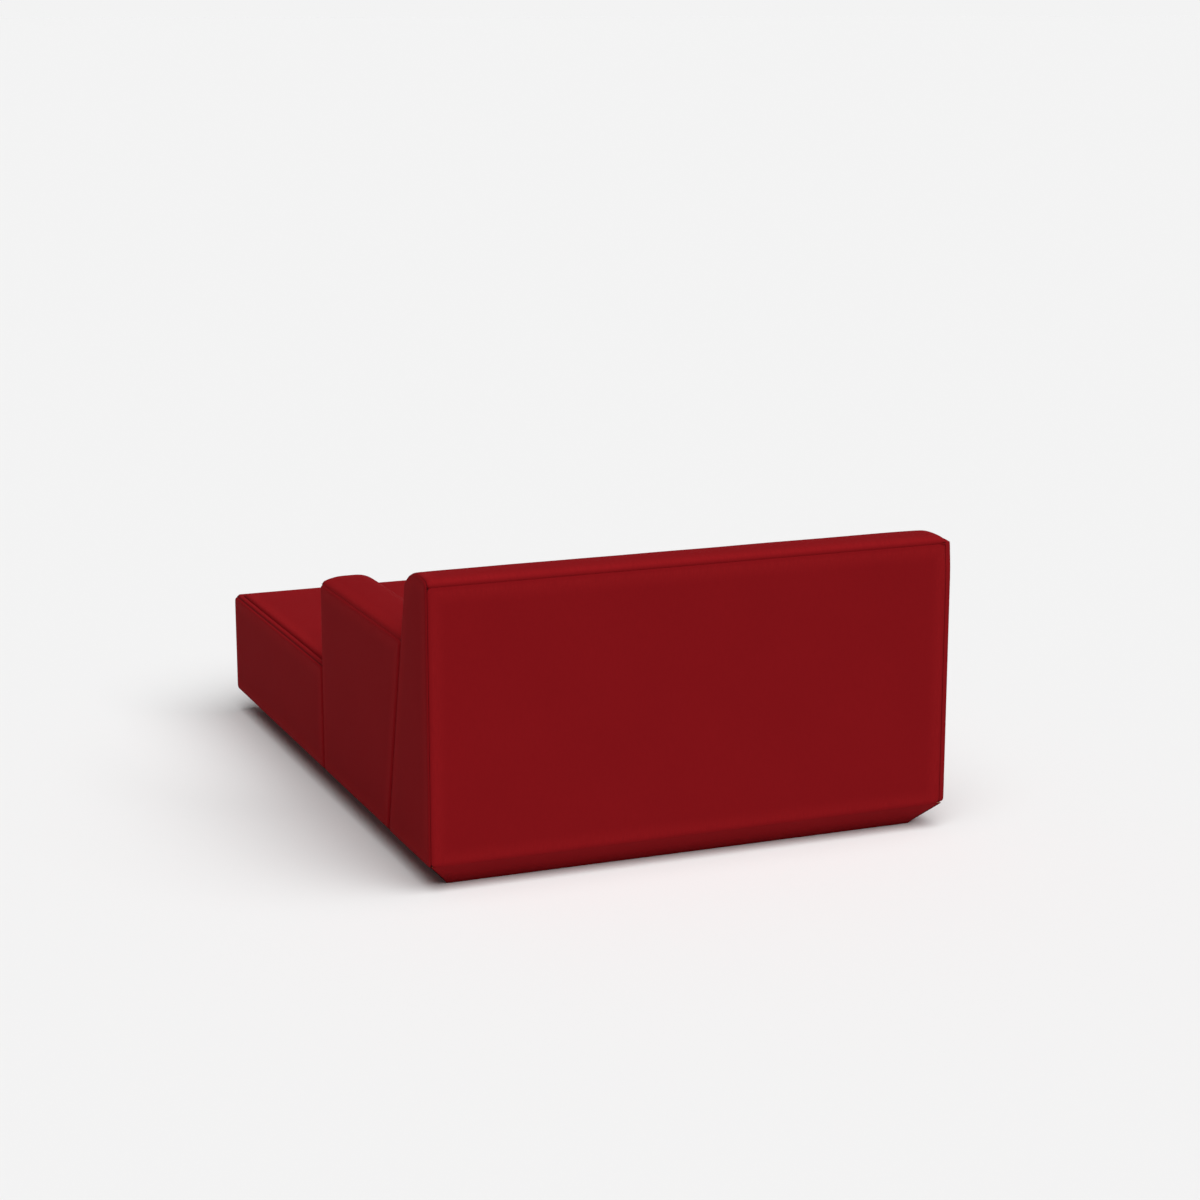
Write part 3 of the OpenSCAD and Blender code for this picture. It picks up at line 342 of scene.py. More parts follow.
def fibrous(name, size, light, dark, depth, stretch, roughness):
    """A soft mass of cells or fibres of one size: felt, foam or wadding."""
    material, tree, place = blank(name)
    drawn = add(tree, "Mapping", {"Vector": place, "Scale": stretch}).outputs["Vector"]
    cells = add(tree, "TexVoronoi", {"Vector": drawn, "Scale": 1 / size}).outputs["Distance"]
    clouds = add(tree, "TexNoise", {"Vector": place, "Scale": 9, "Detail": 3}).outputs["Fac"]
    mixed = add(tree, "Math", {0: cells, 1: clouds, 2: 0.1}, operation="MULTIPLY_ADD").outputs[0]
    surface(tree, mixed, (dark, light), cells, strength=0.5, depth=depth, roughness=roughness)
    return material


needle_felt = fibrous(
    "needled felt", FELT_FIBRE, "9A9A9E", "5C5C62", 0.0005, (1, 0.3, 1), 0.95
)
cut_foam = fibrous("cut foam", FOAM_CELL, "F0E6B8", "D2C488", 0.0006, (1, 1, 1), 0.9)
wadding = fibrous(
    "polyester wadding", WADDING_FIBRE, "F4F4F1", "D5D6D4", 0.0012, (1, 0.25, 0.5), 0.95
)
soft_copy("felt", "seat_felt", 0.001, needle_felt, "seat", "felt")
soft_copy("foam_core", "seat_foam_core", 0.006, cut_foam, "seat", "foam")
for name, node, rounding in (
    ("comfort_layer", "seat_comfort_layer", 0.005),
    ("side_wadding", "seat_side_wadding", 0.003),
):
    soft_copy(name, node, rounding, wadding, "seat", "wadding", under_seat_cover)

# The seat's cover. Panels of dark red woven cloth are cut to patterns, sewn together with
# their edges turned in, and pulled over the filling, which pushes each one out.

BAND, NOTCH_Y = 0.016, 0.0154
MODULE_GAP, CLEAR, SLIT = 0.0006, 0.0012, 0.0003
BACK_Z, BACK_TOP, ARM_Z, ARM_TOP = 0.708, 0.142, 0.542, 0.140
LEAN = math.radians(13.5)
DEEP, CLOSE, SOFT, GAP_TUCK = 0.0022, 0.0010, 0.0012, 0.0030
CRISP_ROLL, SOFT_ROLL, FOLD_ROLL, GAP_ROLL, TOP_ROLL = 0.006, 0.022, 0.010, 0.005, 0.014
AT_GAP, AT_TOP = 0.04, 0.01
RISE = 0.0045
CROWN, CROWN_SPAN = 0.0010, 0.10
UNDULATION, UNDULATIONS = 0.0004, 7
SEWN_DOWN, PRESSURE, SIM_FRAMES = 0.006, 4, 20
CLOTH_THICKNESS = 0.0016
EDGE_ROWS = (0.0005, 0.0015, 0.003, 0.005)
FINE_ROWS = (0.0005, 0.0015, 0.0025)
THREAD = 0.0024
ROLL_FOOT, ROLL_TOP, ROLL_END = 0.002, 0.012, 0.045
CLOTH_RED, CLOTH_SHADE, CLOTH_ROLL_LIGHT = "811217", "780F14", "861519"


def back_face(z):
    """How far the backrest's leaning face lies from the rear, at height z."""
    return BACK_TOP + (BACK_Z - z) * math.tan(LEAN)


def arm_face(z):
    """How far the armrest's leaning face lies from the open side, at height z."""
    return ARM_TOP + (ARM_Z - z) * math.tan(LEAN)


# Woven upholstery cloth, matt: plain weave of two yarns, drawn at 2.4 mm where the real
# threads are 0.5 mm apart, with thick and thin yarns, and a little lighter on the roll
# beside each seam.
cover_cloth, tree, flat = blank("woven upholstery cloth", "UVMap", "UV", uv_map="flat")
warp, weft = (
    add(
        tree,
        "TexWave",
        {"Vector": flat, "Scale": WAVE / THREAD, "Distortion": 0.6, "Detail": 1},
        wave_type="BANDS",
        bands_direction=direction,
    ).outputs["Fac"]
    for direction in "XY"
)
weave = add(tree, "Math", {0: warp, 1: weft}, operation="MULTIPLY").outputs[0]
drawn = add(tree, "Mapping", {"Vector": flat, "Scale": (1, 0.12, 1)}).outputs["Vector"]
slubs = add(tree, "TexNoise", {"Vector": drawn, "Scale": 300, "Detail": 2}).outputs["Fac"]
yarns = add(tree, "Math", {0: weave, 1: 0.35, 2: slubs}, operation="MULTIPLY_ADD").outputs[0]
clouds = add(tree, "TexNoise", {"Vector": flat, "Scale": 5, "Detail": 4}).outputs["Fac"]
tone = add(tree, "Math", {0: yarns, 1: clouds}, operation="MULTIPLY").outputs[0]
colour = add(
    tree, "Mix", {0: tone, 6: linear(CLOTH_SHADE), 7: linear(CLOTH_RED)}, data_type="RGBA"
).outputs[2]
from_seam = add(tree, "Attribute", {}, attribute_name="from_seam").outputs["Fac"]
up_roll, down_roll = (
    add(
        tree,
        "MapRange",
        {0: from_seam, 1: start, 2: stop, 3: first, 4: 1 - first},
        interpolation_type="SMOOTHSTEP",
    ).outputs[0]
    for start, stop, first in ((ROLL_FOOT, ROLL_TOP, 0), (ROLL_TOP, ROLL_END, 1))
)
roll_lightening = add(tree, "Math", {0: up_roll, 1: down_roll}, operation="MULTIPLY").outputs[0]
roll_lightening_part = add(tree, "Math", {0: roll_lightening, 1: slubs}, operation="MULTIPLY").outputs[0]
surface(
    tree,
    roll_lightening_part,
    (colour, CLOTH_ROLL_LIGHT),
    yarns,
    strength=0.35,
    depth=0.0005,
    roughness=0.92,
    specular=0.03,
)


def slice_by(bm, point, normal):
    """Cuts every face along a plane, and keeps both sides."""
    everything = bm.verts[:] + bm.edges[:] + bm.faces[:]
    bmesh.ops.bisect_plane(bm, geom=everything, dist=2e-5, plane_co=point, plane_no=normal)


def oblong(low_a, low_b, high_a, high_b):
    """The pattern of a straight panel."""
    return [(low_a, low_b), (high_a, low_b), (high_a, high_b), (low_a, high_b)]


def cut(outline, cell, rows):
    """A flat panel in its pattern's coordinates, with rows close together along its edge and
    an even grid inside. Also its border, as pairs of points."""
    bm = bmesh.new()
    bm.faces.new([bm.verts.new((a, b, 0)) for a, b in outline])
    border = [(e.verts[0].co.copy(), e.verts[1].co.copy()) for e in bm.edges]
    for row in rows:
        inner = max(bm.faces, key=lambda f: f.calc_area())
        bmesh.ops.inset_region(
            bm, faces=[inner], thickness=row, use_even_offset=True, use_boundary=True
        )
    for axis in (0, 1):
        low = min(v.co[axis] for v in bm.verts)
        size = max(v.co[axis] for v in bm.verts) - low
        count = round(size / cell[axis])
        for k in range(1, count):
            point, normal = Vector(), Vector()
            point[axis], normal[axis] = low + size * k / count, 1
            slice_by(bm, point, normal)
    return bm, border


def sewn(side, at):
    """How deep a panel's edge tucks in and how wide it rolls, in a crisp seam. An edge is
    known by the middle of its side and by a place on it, which a crisp seam does not use."""
    return DEEP, CRISP_ROLL


def folded(side):
    """Whether a side of a panel is its fold over the bevelled base."""
    return side.y < FOLD_Z + 1e-4


def seat_wall(gap):
    """The edges of a panel on the seat's wall: folded over the base, sewn at the top, rolled
    away from the next module at gap, and close in the corners."""

    def edge(side, at):
        if folded(side):
            return 0, FOLD_ROLL
        if side.y > SEAT_Z - AT_TOP:
            return DEEP, CRISP_ROLL
        if gap is not None and abs(side.x - gap) < AT_GAP:
            return GAP_TUCK, GAP_ROLL
        return CLOSE, CRISP_ROLL

    return edge


def on_plane(origin, right, up, ease=lambda co: co):
    """Where a flat panel's points go: along right, along up, and out of their plane, and
    then with the module's corners drawn in by ease."""
    origin, right, up = Vector(origin), Vector(right), Vector(up)
    out = right.cross(up)
    return lambda a, b, h: ease(origin + right * a + up * b + out * h)


def blow_out(piece, held, most):
    """Lets the filling push a sewn-down cover out, and keeps the movement within most."""
    scene = bpy.context.scene
    start = [v.co.copy() for v in piece.data.vertices]
    group = piece.vertex_groups.new(name="sewn_down")
    for index, weight in enumerate(held):
        group.add([index], weight, "REPLACE")
    cloth = piece.modifiers.new("cover", "CLOTH")
    cloth.settings.vertex_group_mass = group.name
    cloth.settings.use_pressure = True
    cloth.settings.uniform_pressure_force = PRESSURE
    cloth.settings.effector_weights.gravity = 0
    cloth.settings.quality = 4
    cloth.point_cache.frame_start, cloth.point_cache.frame_end = 1, SIM_FRAMES
    for number in range(1, SIM_FRAMES + 1):
        scene.frame_set(number)
    seen = piece.evaluated_get(bpy.context.evaluated_depsgraph_get())
    moved = [v.co - s for v, s in zip(seen.data.vertices, start)]
    share = min(1, most / max(max(m.length for m in moved), 1e-6))
    piece.modifiers.remove(cloth)
    for vert, at, move in zip(piece.data.vertices, start, moved):
        vert.co = at + move * share
    piece.vertex_groups.clear()
    scene.frame_set(1)


def upholster(
    name,
    body,
    node,
    outline,
    place,
    edge=sewn,
    cell=(0.015, 0.015),
    rise=RISE,
    crown=CROWN,
    most=0.0015,
    free=None,
    rows=EDGE_ROWS,
):
    """Makes one panel of the cover. It is cut flat, tucked into its seams along its edge,
    laid on its filling and pushed out by it, except where free(a, b) is 0. A panel folded
    round corners gives its strip's length and width for its flat size."""
    bm, border = cut(outline, cell, rows)
    area = sum(f.calc_area() for f in bm.faces)
    sides = [(p, q, ((p + q) / 2).to_2d()) for p, q in border]
    flat = bm.loops.layers.uv.new("flat")
    from_seam = bm.verts.layers.float.new("from_seam")
    for face in bm.faces:
        face.smooth = True
        for loop in face.loops:
            loop[flat].uv = loop.vert.co.to_2d()
    held = []
    for vert in bm.verts:
        a, b, _ = vert.co
        nearest, height = 1.0, rise
        for p, q, side in sides:
            at, share = geometry.intersect_point_line(vert.co, p, q)
            at = p if share < 0 else q if share > 1 else at
            away = (vert.co - at).length
            nearest = min(nearest, away)
            tuck, roll = edge(side, at)
            arc = math.sqrt(1 - (1 - min(away / roll, 1)) ** 2)
            height = min(height, (tuck + rise) * arc - tuck)
        loose = free(a, b) if free else 1
        inward = min(nearest / CROWN_SPAN, 1)
        swell = crown * inward * (2 - inward)
        spot = Vector((a * UNDULATIONS, b * UNDULATIONS, len(name)))
        wave = noise.noise(spot) * UNDULATION * inward
        height = height if height < 0 else height * loose
        vert[from_seam] = nearest
        vert.co = place(a, b, height + (swell + wave) * loose)
        held.append(1.0 if nearest < SEWN_DOWN else 1 - loose)
    panel = build(name, bm, cover_cloth)
    if most:
        blow_out(panel, held, most)
    finer = panel.modifiers.new("finer", "SUBSURF")
    finer.levels = finer.render_levels = 1
    finer.boundary_smooth = "PRESERVE_CORNERS"
    wall = panel.modifiers.new("thickness", "SOLIDIFY")
    wall.thickness, wall.offset = CLOTH_THICKNESS, -1
    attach(panel, body)
    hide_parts(node)


top_x, top_front = SIDE - BAND - SLIT, FRONT + BAND + SLIT
top_arm = SIDE - arm_face(SEAT_Z) - MODULE_GAP - CLEAR
top_rear = REAR - back_face(SEAT_Z) - MODULE_GAP - CLEAR
notch = NOTCH_Y - CLEAR
on_seat = on_plane((0, 0, SEAT_Z), (1, 0, 0), (0, 1, 0), in_seat)
upholster(
    "seat_top",
    "seat",
    "seat_top_cover",
    [
        (-top_x, top_front),
        (top_x, top_front),
        (top_x, notch),
        (top_arm, notch),
        (top_arm, top_rear),
        (-top_x, top_rear),
    ],
    on_seat,
    edge=lambda side, at: (DEEP, TOP_ROLL),
    cell=(0.018, 0.018),
    rise=0.0085,
    crown=0.0020,
    most=0.0025,
)
band_in, band_out = SIDE - BAND + SLIT, SIDE - DEEP
upholster(
    "seat_band",
    "seat",
    "seat_edge_band",
    [
        (-band_out, top_rear),
        (-band_out, FRONT + DEEP),
        (band_out, FRONT + DEEP),
        (band_out, notch),
        (band_in, notch),
        (band_in, FRONT + BAND - SLIT),
        (-band_in, FRONT + BAND - SLIT),
        (-band_in, top_rear),
    ],
    on_seat,
    cell=(0.010, 0.010),
    rise=0.0040,
    most=0,
    rows=FINE_ROWS,
)
side_top = SEAT_Z - DEEP
upholster(
    "seat_side_at_armrest",
    "seat",
    "seat_side_covers",
    oblong(FRONT + CLOSE, FOLD_Z, notch, side_top),
    on_plane((SIDE, 0, 0), (0, 1, 0), (0, 0, 1), in_seat),
    edge=seat_wall(notch),
)
upholster(
    "seat_side_open",
    "seat",
    "seat_side_covers",
    [
        (back_face(FOLD_Z) + MODULE_GAP + CLEAR - REAR, FOLD_Z),
        (REAR - CLOSE, FOLD_Z),
        (REAR - CLOSE, side_top),
        (back_face(side_top) + MODULE_GAP + CLEAR - REAR, side_top),
    ],
    on_plane((-SIDE, 0, 0), (0, -1, 0), (0, 0, 1), in_seat),
    edge=seat_wall(back_face(0.2) - REAR),
)
upholster(
    "seat_front",
    "seat",
    "seat_front_cover",
    oblong(-SIDE + CLOSE, FOLD_Z, SIDE - CLOSE, side_top),
    on_plane((0, FRONT, 0), (1, 0, 0), (0, 0, 1), in_seat),
    edge=seat_wall(None),
)

# The seat's seams. The turned-in edges of the panels meet at the bottom of each seam and
# are locked with a doubled polyester thread, painted dark so that it also paints the seam's shade
# as a dark line.

SEAM_R, SEAM_STEP = 0.0011, 0.008
SEAM_DEPTH, CORNER_SEAM, BELOW_FOLD = 0.0024, 0.0008, 0.003
STITCH = 0.004
SEAM_SHADE_RED, SEAM_SHADE_DARK = "3A070B", "240408"

# Spun polyester sewing thread, pulled tight, painted dark with the shade that fills the seam:
# short dark stitches at 4 mm, as sewn, that hardly reflect because they lie in the seam.
seam_shade_thread, tree, place = blank("thread painted with seam shade")
stitches = add(
    tree,
    "TexWave",
    {"Vector": place, "Scale": WAVE / STITCH, "Distortion": 1},
    wave_type="BANDS",
    bands_direction="DIAGONAL",
).outputs["Fac"]
surface(
    tree,
    stitches,
    (SEAM_SHADE_DARK, SEAM_SHADE_RED),
    stitches,
    strength=0.5,
    depth=0.0004,
    roughness=0.9,
    specular=0.05,
)


def sew(name, body, lines, ease, node=None, material=seam_shade_thread):
    """The thread and turned-in edges along one or more seams, as a tube that by default is painted
    dark for the shade inside a seam.
    """
    curve = bpy.data.curves.new(name, "CURVE")
    curve.dimensions = "3D"
    curve.bevel_depth, curve.bevel_resolution = SEAM_R, 1
    curve.use_fill_caps = True
    for line in lines:
        stops = [Vector(line[0])]
        for p, q in zip(line, line[1:]):
            p, q = Vector(p), Vector(q)
            count = max(math.ceil((q - p).length / SEAM_STEP), 1)
            stops += [p.lerp(q, k / count) for k in range(1, count + 1)]
        spline = curve.splines.new("POLY")
        spline.points.add(len(stops) - 1)
        for point, at in zip(spline.points, stops):
            point.co = (*ease(at), 1)
    path = stand(name + "_path", curve)
    bpy.context.view_layer.update()
    mesh = bpy.data.meshes.new_from_object(path)
    bpy.data.objects.remove(path)
    bm = bmesh.new()
    bm.from_mesh(mesh)
    bpy.data.meshes.remove(mesh)
    bmesh.ops.remove_doubles(bm, verts=bm.verts, dist=1e-6)
    bmesh.ops.recalc_face_normals(bm, faces=bm.faces)
    for face in bm.faces:
        face.smooth = True
    seam = build(name, bm, material)
    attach(seam, body)
    if node:
        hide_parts(node)


seam_z = SEAT_Z - SEAM_DEPTH
corner_x, corner_y = SIDE - CLOSE - CORNER_SEAM, FRONT + CLOSE + CORNER_SEAM
seams = [
    [
        (inset - SIDE, top_rear, seam_z),
        (inset - SIDE, FRONT + inset, seam_z),
        (SIDE - inset, FRONT + inset, seam_z),
        (SIDE - inset, notch, seam_z),
    ]
    for inset in (SEAM_DEPTH, BAND)
]
for x in (-corner_x, corner_x):
    seams.append([(x, corner_y, FOLD_Z - BELOW_FOLD), (x, corner_y, seam_z)])
sew("seat_seams", "seat", seams, in_seat)

# The seat's linings and base cloth. Plain dark lining closes the faces against the other
# two modules and the underside, and the cover cloth is stapled over the bevelled base.

LINING_DOT = 0.003
LINING_LIGHT, LINING_DARK = "4A1014", "2E090C"
CORNER_CUTS = (0.004, 0.012, 0.024, 0.040, 0.062)
HANG = 0.8 * FLOOR_Z

# Spun-bonded polypropylene lining in its own dark red, kept this dark so that where it shows
# between the modules it also paints the shade of the gap: thin, matt, with small pressed dots,
# drawn 3 mm apart where the real ones are 1 mm.
lining_cloth, tree, flat = blank("spun-bonded lining", "UVMap", "UV", uv_map="flat")
dots = add(
    tree, "TexVoronoi", {"Vector": flat, "Scale": 1 / LINING_DOT, "Randomness": 0.15}
).outputs["Distance"]
reds = LINING_DARK, LINING_LIGHT
surface(tree, dots, reds, dots, strength=0.5, depth=0.0003, roughness=0.85, specular=0.1)


def base_cloth(name, node, body, corners):
    """Cover cloth stapled flat over a bevelled base, far from any seam, its corners drawn
    in with the panels above and its lower edge hanging to the floor."""
    cloth = soft_copy(name, node, 0.0007, cover_cloth, body, "cover_cloth")
    bm = bmesh.new()
    bm.from_mesh(cloth.data)
    for x, y, out_x, out_y in corners:
        for inset in CORNER_CUTS:
            slice_by(bm, (x - inset * out_x, 0, 0), (1, 0, 0))
            slice_by(bm, (0, y - inset * out_y, 0), (0, 1, 0))
    for vert in bm.verts:
        vert.co = drawn_in(vert.co, corners, 0)
        if vert.co.z < 2 * FLOOR_Z:
            vert.co.z -= HANG
    bm.to_mesh(cloth.data)
    bm.free()
    layer = cloth.data.attributes.new("from_seam", "FLOAT", "POINT")
    layer.data.foreach_set("value", [1.0] * len(cloth.data.vertices))


def lay_lining(name, node, body, rounding=0.0003):
    """Lining stapled flat over an inner face, or as a dust cloth under a base."""
    lining = soft_copy(name, node, rounding, lining_cloth, body, "lining_cloth")


base_cloth("seat_base_cloth", "seat_bevel_cover", "seat", SEAT_CORNERS)
lay_lining("seat_lining", "seat_inner_cover", "seat", rounding=0.0006)
lay_lining("seat_dust_cloth_0", "seat_dust_cloth", "seat")

# The glides and the couplings' sockets. Glides are moulded from black polypropylene and
# nailed on. Sockets are turned from zinc-plated steel and screwed into the base boards.

TOOL_MARK = 0.0009
ARM_SOCKETS_Y = 0.48
GLIDE_BLACK, GLIDE_GREY = "1B1B1C", "2A2A2B"
STEEL_LIGHT, STEEL_DARK = "B9BBBF", "9A9DA3"

# Moulded polypropylene: satin, with the fine grain of a sparked mould.
moulded_black, tree, place = blank("moulded polypropylene")
grain = add(tree, "TexNoise", {"Vector": place, "Scale": 1400, "Detail": 2}).outputs["Fac"]
glide_colours = GLIDE_BLACK, GLIDE_GREY
surface(tree, grain, glide_colours, grain, strength=0.2, depth=0.0002, roughness=0.45)


def turned_steel(name, axis):
    """Zinc-plated steel turned on a lathe: fine rings round one axis, drawn at 0.9 mm
    where the tool leaves 0.1 mm, and a blueish clouding of the plating."""
    material, tree, place = blank(name)
    marks = add(
        tree,
        "TexWave",
        {"Vector": place, "Scale": WAVE / TOOL_MARK, "Distortion": 0.2},
        wave_type="BANDS",
        bands_direction=axis,
    ).outputs["Fac"]
    clouds = add(tree, "TexNoise", {"Vector": place, "Scale": 60, "Detail": 3}).outputs["Fac"]
    greys = STEEL_DARK, STEEL_LIGHT
    surface(tree, clouds, greys, marks, strength=0.15, depth=0.0001, roughness=0.32, metallic=1)
    return material


steel_y = turned_steel("turned steel along the depth", "Y")
steel_x = turned_steel("turned steel along the width", "X")
dress("seat_glides", moulded_black)
dress("seat_sockets", steel_y, steel_x, pick=lambda at: at.y < ARM_SOCKETS_Y)

# The backrest's frame. Four birch plywood ribs stand on two pine rails under a pine top
# rail, all on a bevelled base, with a hardboard sheet nailed over the rear.

BACK_END_BOARDS_Y = (0.577, 0.752)
HARDBOARD_FIBRE = 0.004
HARDBOARD_LIGHT, HARDBOARD_DARK = "8A6542", "6A4A2F"

ply_x = birch_plywood("birch plywood across the width", "X", (0, math.pi / 2, 0))
dress("back_ribs", ply_x)
dress("back_top_rail", pine_x)
dress("back_base_rails", pine_x)
first, last = BACK_END_BOARDS_Y
dress(
    "back_base_boards",
    pine_x,
    pine_y,
    pick=lambda at: abs(at.x) > BASE_MITRE_X and first < at.y < last,
)
dress("back_pins", steel_y)
dress("back_glides", moulded_black)

# Hardboard, pressed from wood fibre: dark brown, with loose short fibres.
hardboard, tree, place = blank("pressed hardboard")
fibres = add(
    tree, "TexNoise", {"Vector": place, "Scale": 1 / HARDBOARD_FIBRE, "Detail": 5}
).outputs["Fac"]
browns = HARDBOARD_DARK, HARDBOARD_LIGHT
surface(tree, fibres, browns, fibres, strength=0.3, depth=0.0003, roughness=0.6)
dress("back_rear_board", hardboard)

# The backrest's springing and filling. Five elastic webs are stretched over the ribs, with
# foam glued over them and over the top, and wadding on the rear and on both ends.

BACK_SEAM_Z = 0.692
BACK_TURNS = [(0.014, 90, 8), (0.240, 8, 0), (0.0205, 0, 0), (0.120, 0, -42), (0.020, -42, -76.5)]
BACK_STOPS = [0.610, 0.630, 0.650, 0.670]
OPEN_LOW, OPEN_TOP, OPEN_IN, OPEN_RISE, OPEN_ROLL = 0.0030, 0.0100, 0.0035, 0.0165, 0.010
OPEN_FROM, OPEN_TO = SIDE - 0.030, SIDE - 0.010
TURN_STEP = math.radians(8)


class Profile:
    """A line in depth and height that cloth follows, measured by length."""

    def __init__(self, points):
        self.points = [Vector(p) for p in points]
        self.lengths = [0.0]
        for p, q in zip(self.points, self.points[1:]):
            self.lengths.append(self.lengths[-1] + (q - p).length)
        tangents = [(q - p).normalized() for p, q in zip(self.points, self.points[1:])]
        inner = [p + q for p, q in zip(tangents, tangents[1:])]
        joined = [tangents[0], *inner, tangents[-1]]
        self.normals = [Vector((-t.y, t.x)).normalized() for t in joined]
        self.total = self.lengths[-1]

    def at(self, length):
        """The point at a length, and the outward normal there."""
        k = min(max(bisect.bisect_right(self.lengths, length) - 1, 0), len(self.points) - 2)
        share = (length - self.lengths[k]) / (self.lengths[k + 1] - self.lengths[k])
        point = self.points[k].lerp(self.points[k + 1], share)
        normal = self.normals[k].lerp(self.normals[k + 1], min(max(share, 0), 1))
        return point, normal.normalized()

    def inside(self, depth):
        """The line's points, moved inwards by a depth for each length along it."""
        stops = zip(self.points, self.normals, self.lengths)
        return [point - normal * depth(at) for point, normal, at in stops]

    def pressed(self, point, depth):
        """A point of the filling, moved in until it lies deep enough under the line."""
        nearest = None
        for p, q in zip(self.points, self.points[1:]):
            share = (point - p).dot(q - p) / (q - p).length_squared
            at = p.lerp(q, min(max(share, 0), 1))
            away = (point - at).length
            if nearest is None or away < nearest[0]:
                along = (q - p).normalized()
                nearest = away, at, Vector((-along.y, along.x))
        out = nearest[2]
        return point - out * max((point - nearest[1]).dot(out) + depth, 0)


def swept(start, turns, foot):
    """A profile: up from its seam, over the top in steady turns, and down to its foot.
    Each turn is a radius and the headings in degrees at its start and end. Where both are
    the same the line runs straight for that length."""
    points = [Vector(start)]
    for radius, first, last in turns:
        first, last = math.radians(first), math.radians(last)
        if first == last:
            points.append(points[-1] + radius * Vector((math.cos(first), math.sin(first))))
            continue
        count = max(math.ceil(abs(first - last) / TURN_STEP), 2)
        centre = points[-1] + radius * Vector((math.sin(first), -math.cos(first)))
        for k in range(1, count + 1):
            heading = first + (last - first) * k / count
            points.append(centre + radius * Vector((-math.sin(heading), math.cos(heading))))
    return points + [Vector(foot)]


back_line = Profile(swept((0, BACK_SEAM_Z), BACK_TURNS, (back_face(FOLD_Z), FOLD_Z)))
back_outline = Profile(
    [(0, z) for z in (FOLD_Z - BELOW_FOLD, *BACK_STOPS)] + back_line.points
)
BACK_CORNERS = [(SIDE, REAR, 1, 1), (-SIDE, REAR, -1, 1)]


def in_back(co):
    """Where a point of the backrest lies once its lower corners are drawn in."""
    return drawn_in(co, BACK_CORNERS, 0)


def under_back_cover(co):
    """Where a point of the backrest's filling lies once the cover presses on it, deepest
    near the open end, where the wrapped panel rolls down to its seam."""
    side = SIDE - PAD_DEPTH
    depth = PAD_DEPTH + OPEN_TOP * smooth(OPEN_FROM, OPEN_TO, -co.x)
    point = back_outline.pressed(Vector((REAR - co.y, co.z)), depth)
    return in_back(Vector((min(max(co.x, -side), side), REAR - point.x, point.y)))


lay_webs("webs_behind_back", "back_webs", "backrest")
for name, node, rounding, material, slot in (
    ("back_foam", "back_face_foam", 0.002, cut_foam, "foam"),
    ("back_top_pad", "back_top_foam", 0.003, cut_foam, "foam"),
    ("back_rear_pad", "back_rear_wadding", 0.002, wadding, "wadding"),
    ("back_end_pads", "back_end_wadding", 0.003, wadding, "wadding"),
):
    pad = soft_copy(name, node, rounding, material, "backrest", slot, under_back_cover)

# The backrest's cover. One panel is wrapped from the rear crease over the rounded top and
# down the leaning face, and a flat rear panel and two wedge-shaped ends are sewn to it.

QUIET_Z, ARM_QUIET_Z, FADE = 0.340, 0.552, 0.045
OPEN_DEEPENS, OPEN_ROLL_WIDTH = 0.080, 2.4
CLOSE_MORE, CLOSE_FROM, CLOSE_TO = 0.0020, 0.110, 0.200
CLOSE_ROLL, FLAT_RISE = 0.005, 0.0015
CLOSE_SEAM, OPEN_SEAM, CREASE_IN, CREASE_SHORT = 0.0006, 0.0008, 0.0008, 0.002


def on_back(a, b, h):
    """Lays the backrest's wrapped panel: a runs towards -X, b along the profile."""
    point, out = back_line.at(b)
    return Vector((-a, REAR - point.x - out.x * h, point.y + out.y * h))


def back_free(a, b):
    """1 where the backrest's panel stands free, and 0 behind the seat and the armrest."""
    z = back_line.at(b)[0].y
    at_arm = smooth(SIDE - arm_face(z) - FADE, SIDE - arm_face(z), -a)
    behind_arm = at_arm * (1 - smooth(ARM_QUIET_Z, ARM_QUIET_Z + FADE, z))
    return smooth(QUIET_Z, QUIET_Z + FADE, z) * (1 - behind_arm)


def open_depth(length):
    """How deep the open end's seam lies, by length from the crease. It deepens towards the
    crease and stays deep beyond, where the cloth is pulled round the filling's corners."""
    return OPEN_LOW + (OPEN_TOP - OPEN_LOW) * smooth(-OPEN_DEEPENS, 0, length)


def close_depth(length):
    """How deep the seam by the armrest lies: deeper down the leaning face, where the
    armrest's lining slides past it."""
    return CLOSE + CLOSE_MORE * smooth(CLOSE_FROM, CLOSE_TO, length)


def end_edge(a, length):
    """The wrapped and the rear panel's edge at either end, a running to the open one."""
    if a > 0:
        return open_depth(length), OPEN_ROLL_WIDTH * open_depth(length)
    return close_depth(length), CRISP_ROLL


def back_wrap_edge(side, at):
    """The wrapped panel's edges: soft at the crease, and those at both ends."""
    return (SOFT, SOFT_ROLL) if side.y < 0.001 else end_edge(side.x, at.y)


def back_rear_edge(side, at):
    """The rear panel's edges: soft at the crease, folded below, and those at both ends."""
    if side.y > BACK_SEAM_Z - 0.001:
        return SOFT, SOFT_ROLL
    return (0, FOLD_ROLL) if folded(side) else end_edge(side.x, at.y - BACK_SEAM_Z)


def close_edge(side, at):
    """The edges of the end panel by the armrest."""
    return (0, FOLD_ROLL) if folded(side) else (CLOSE, CLOSE_ROLL)


def open_edge(side, at):
    """The edges of the open end's panel, which swells out between them."""
    return (0, FOLD_ROLL) if folded(side) else (0, OPEN_ROLL)


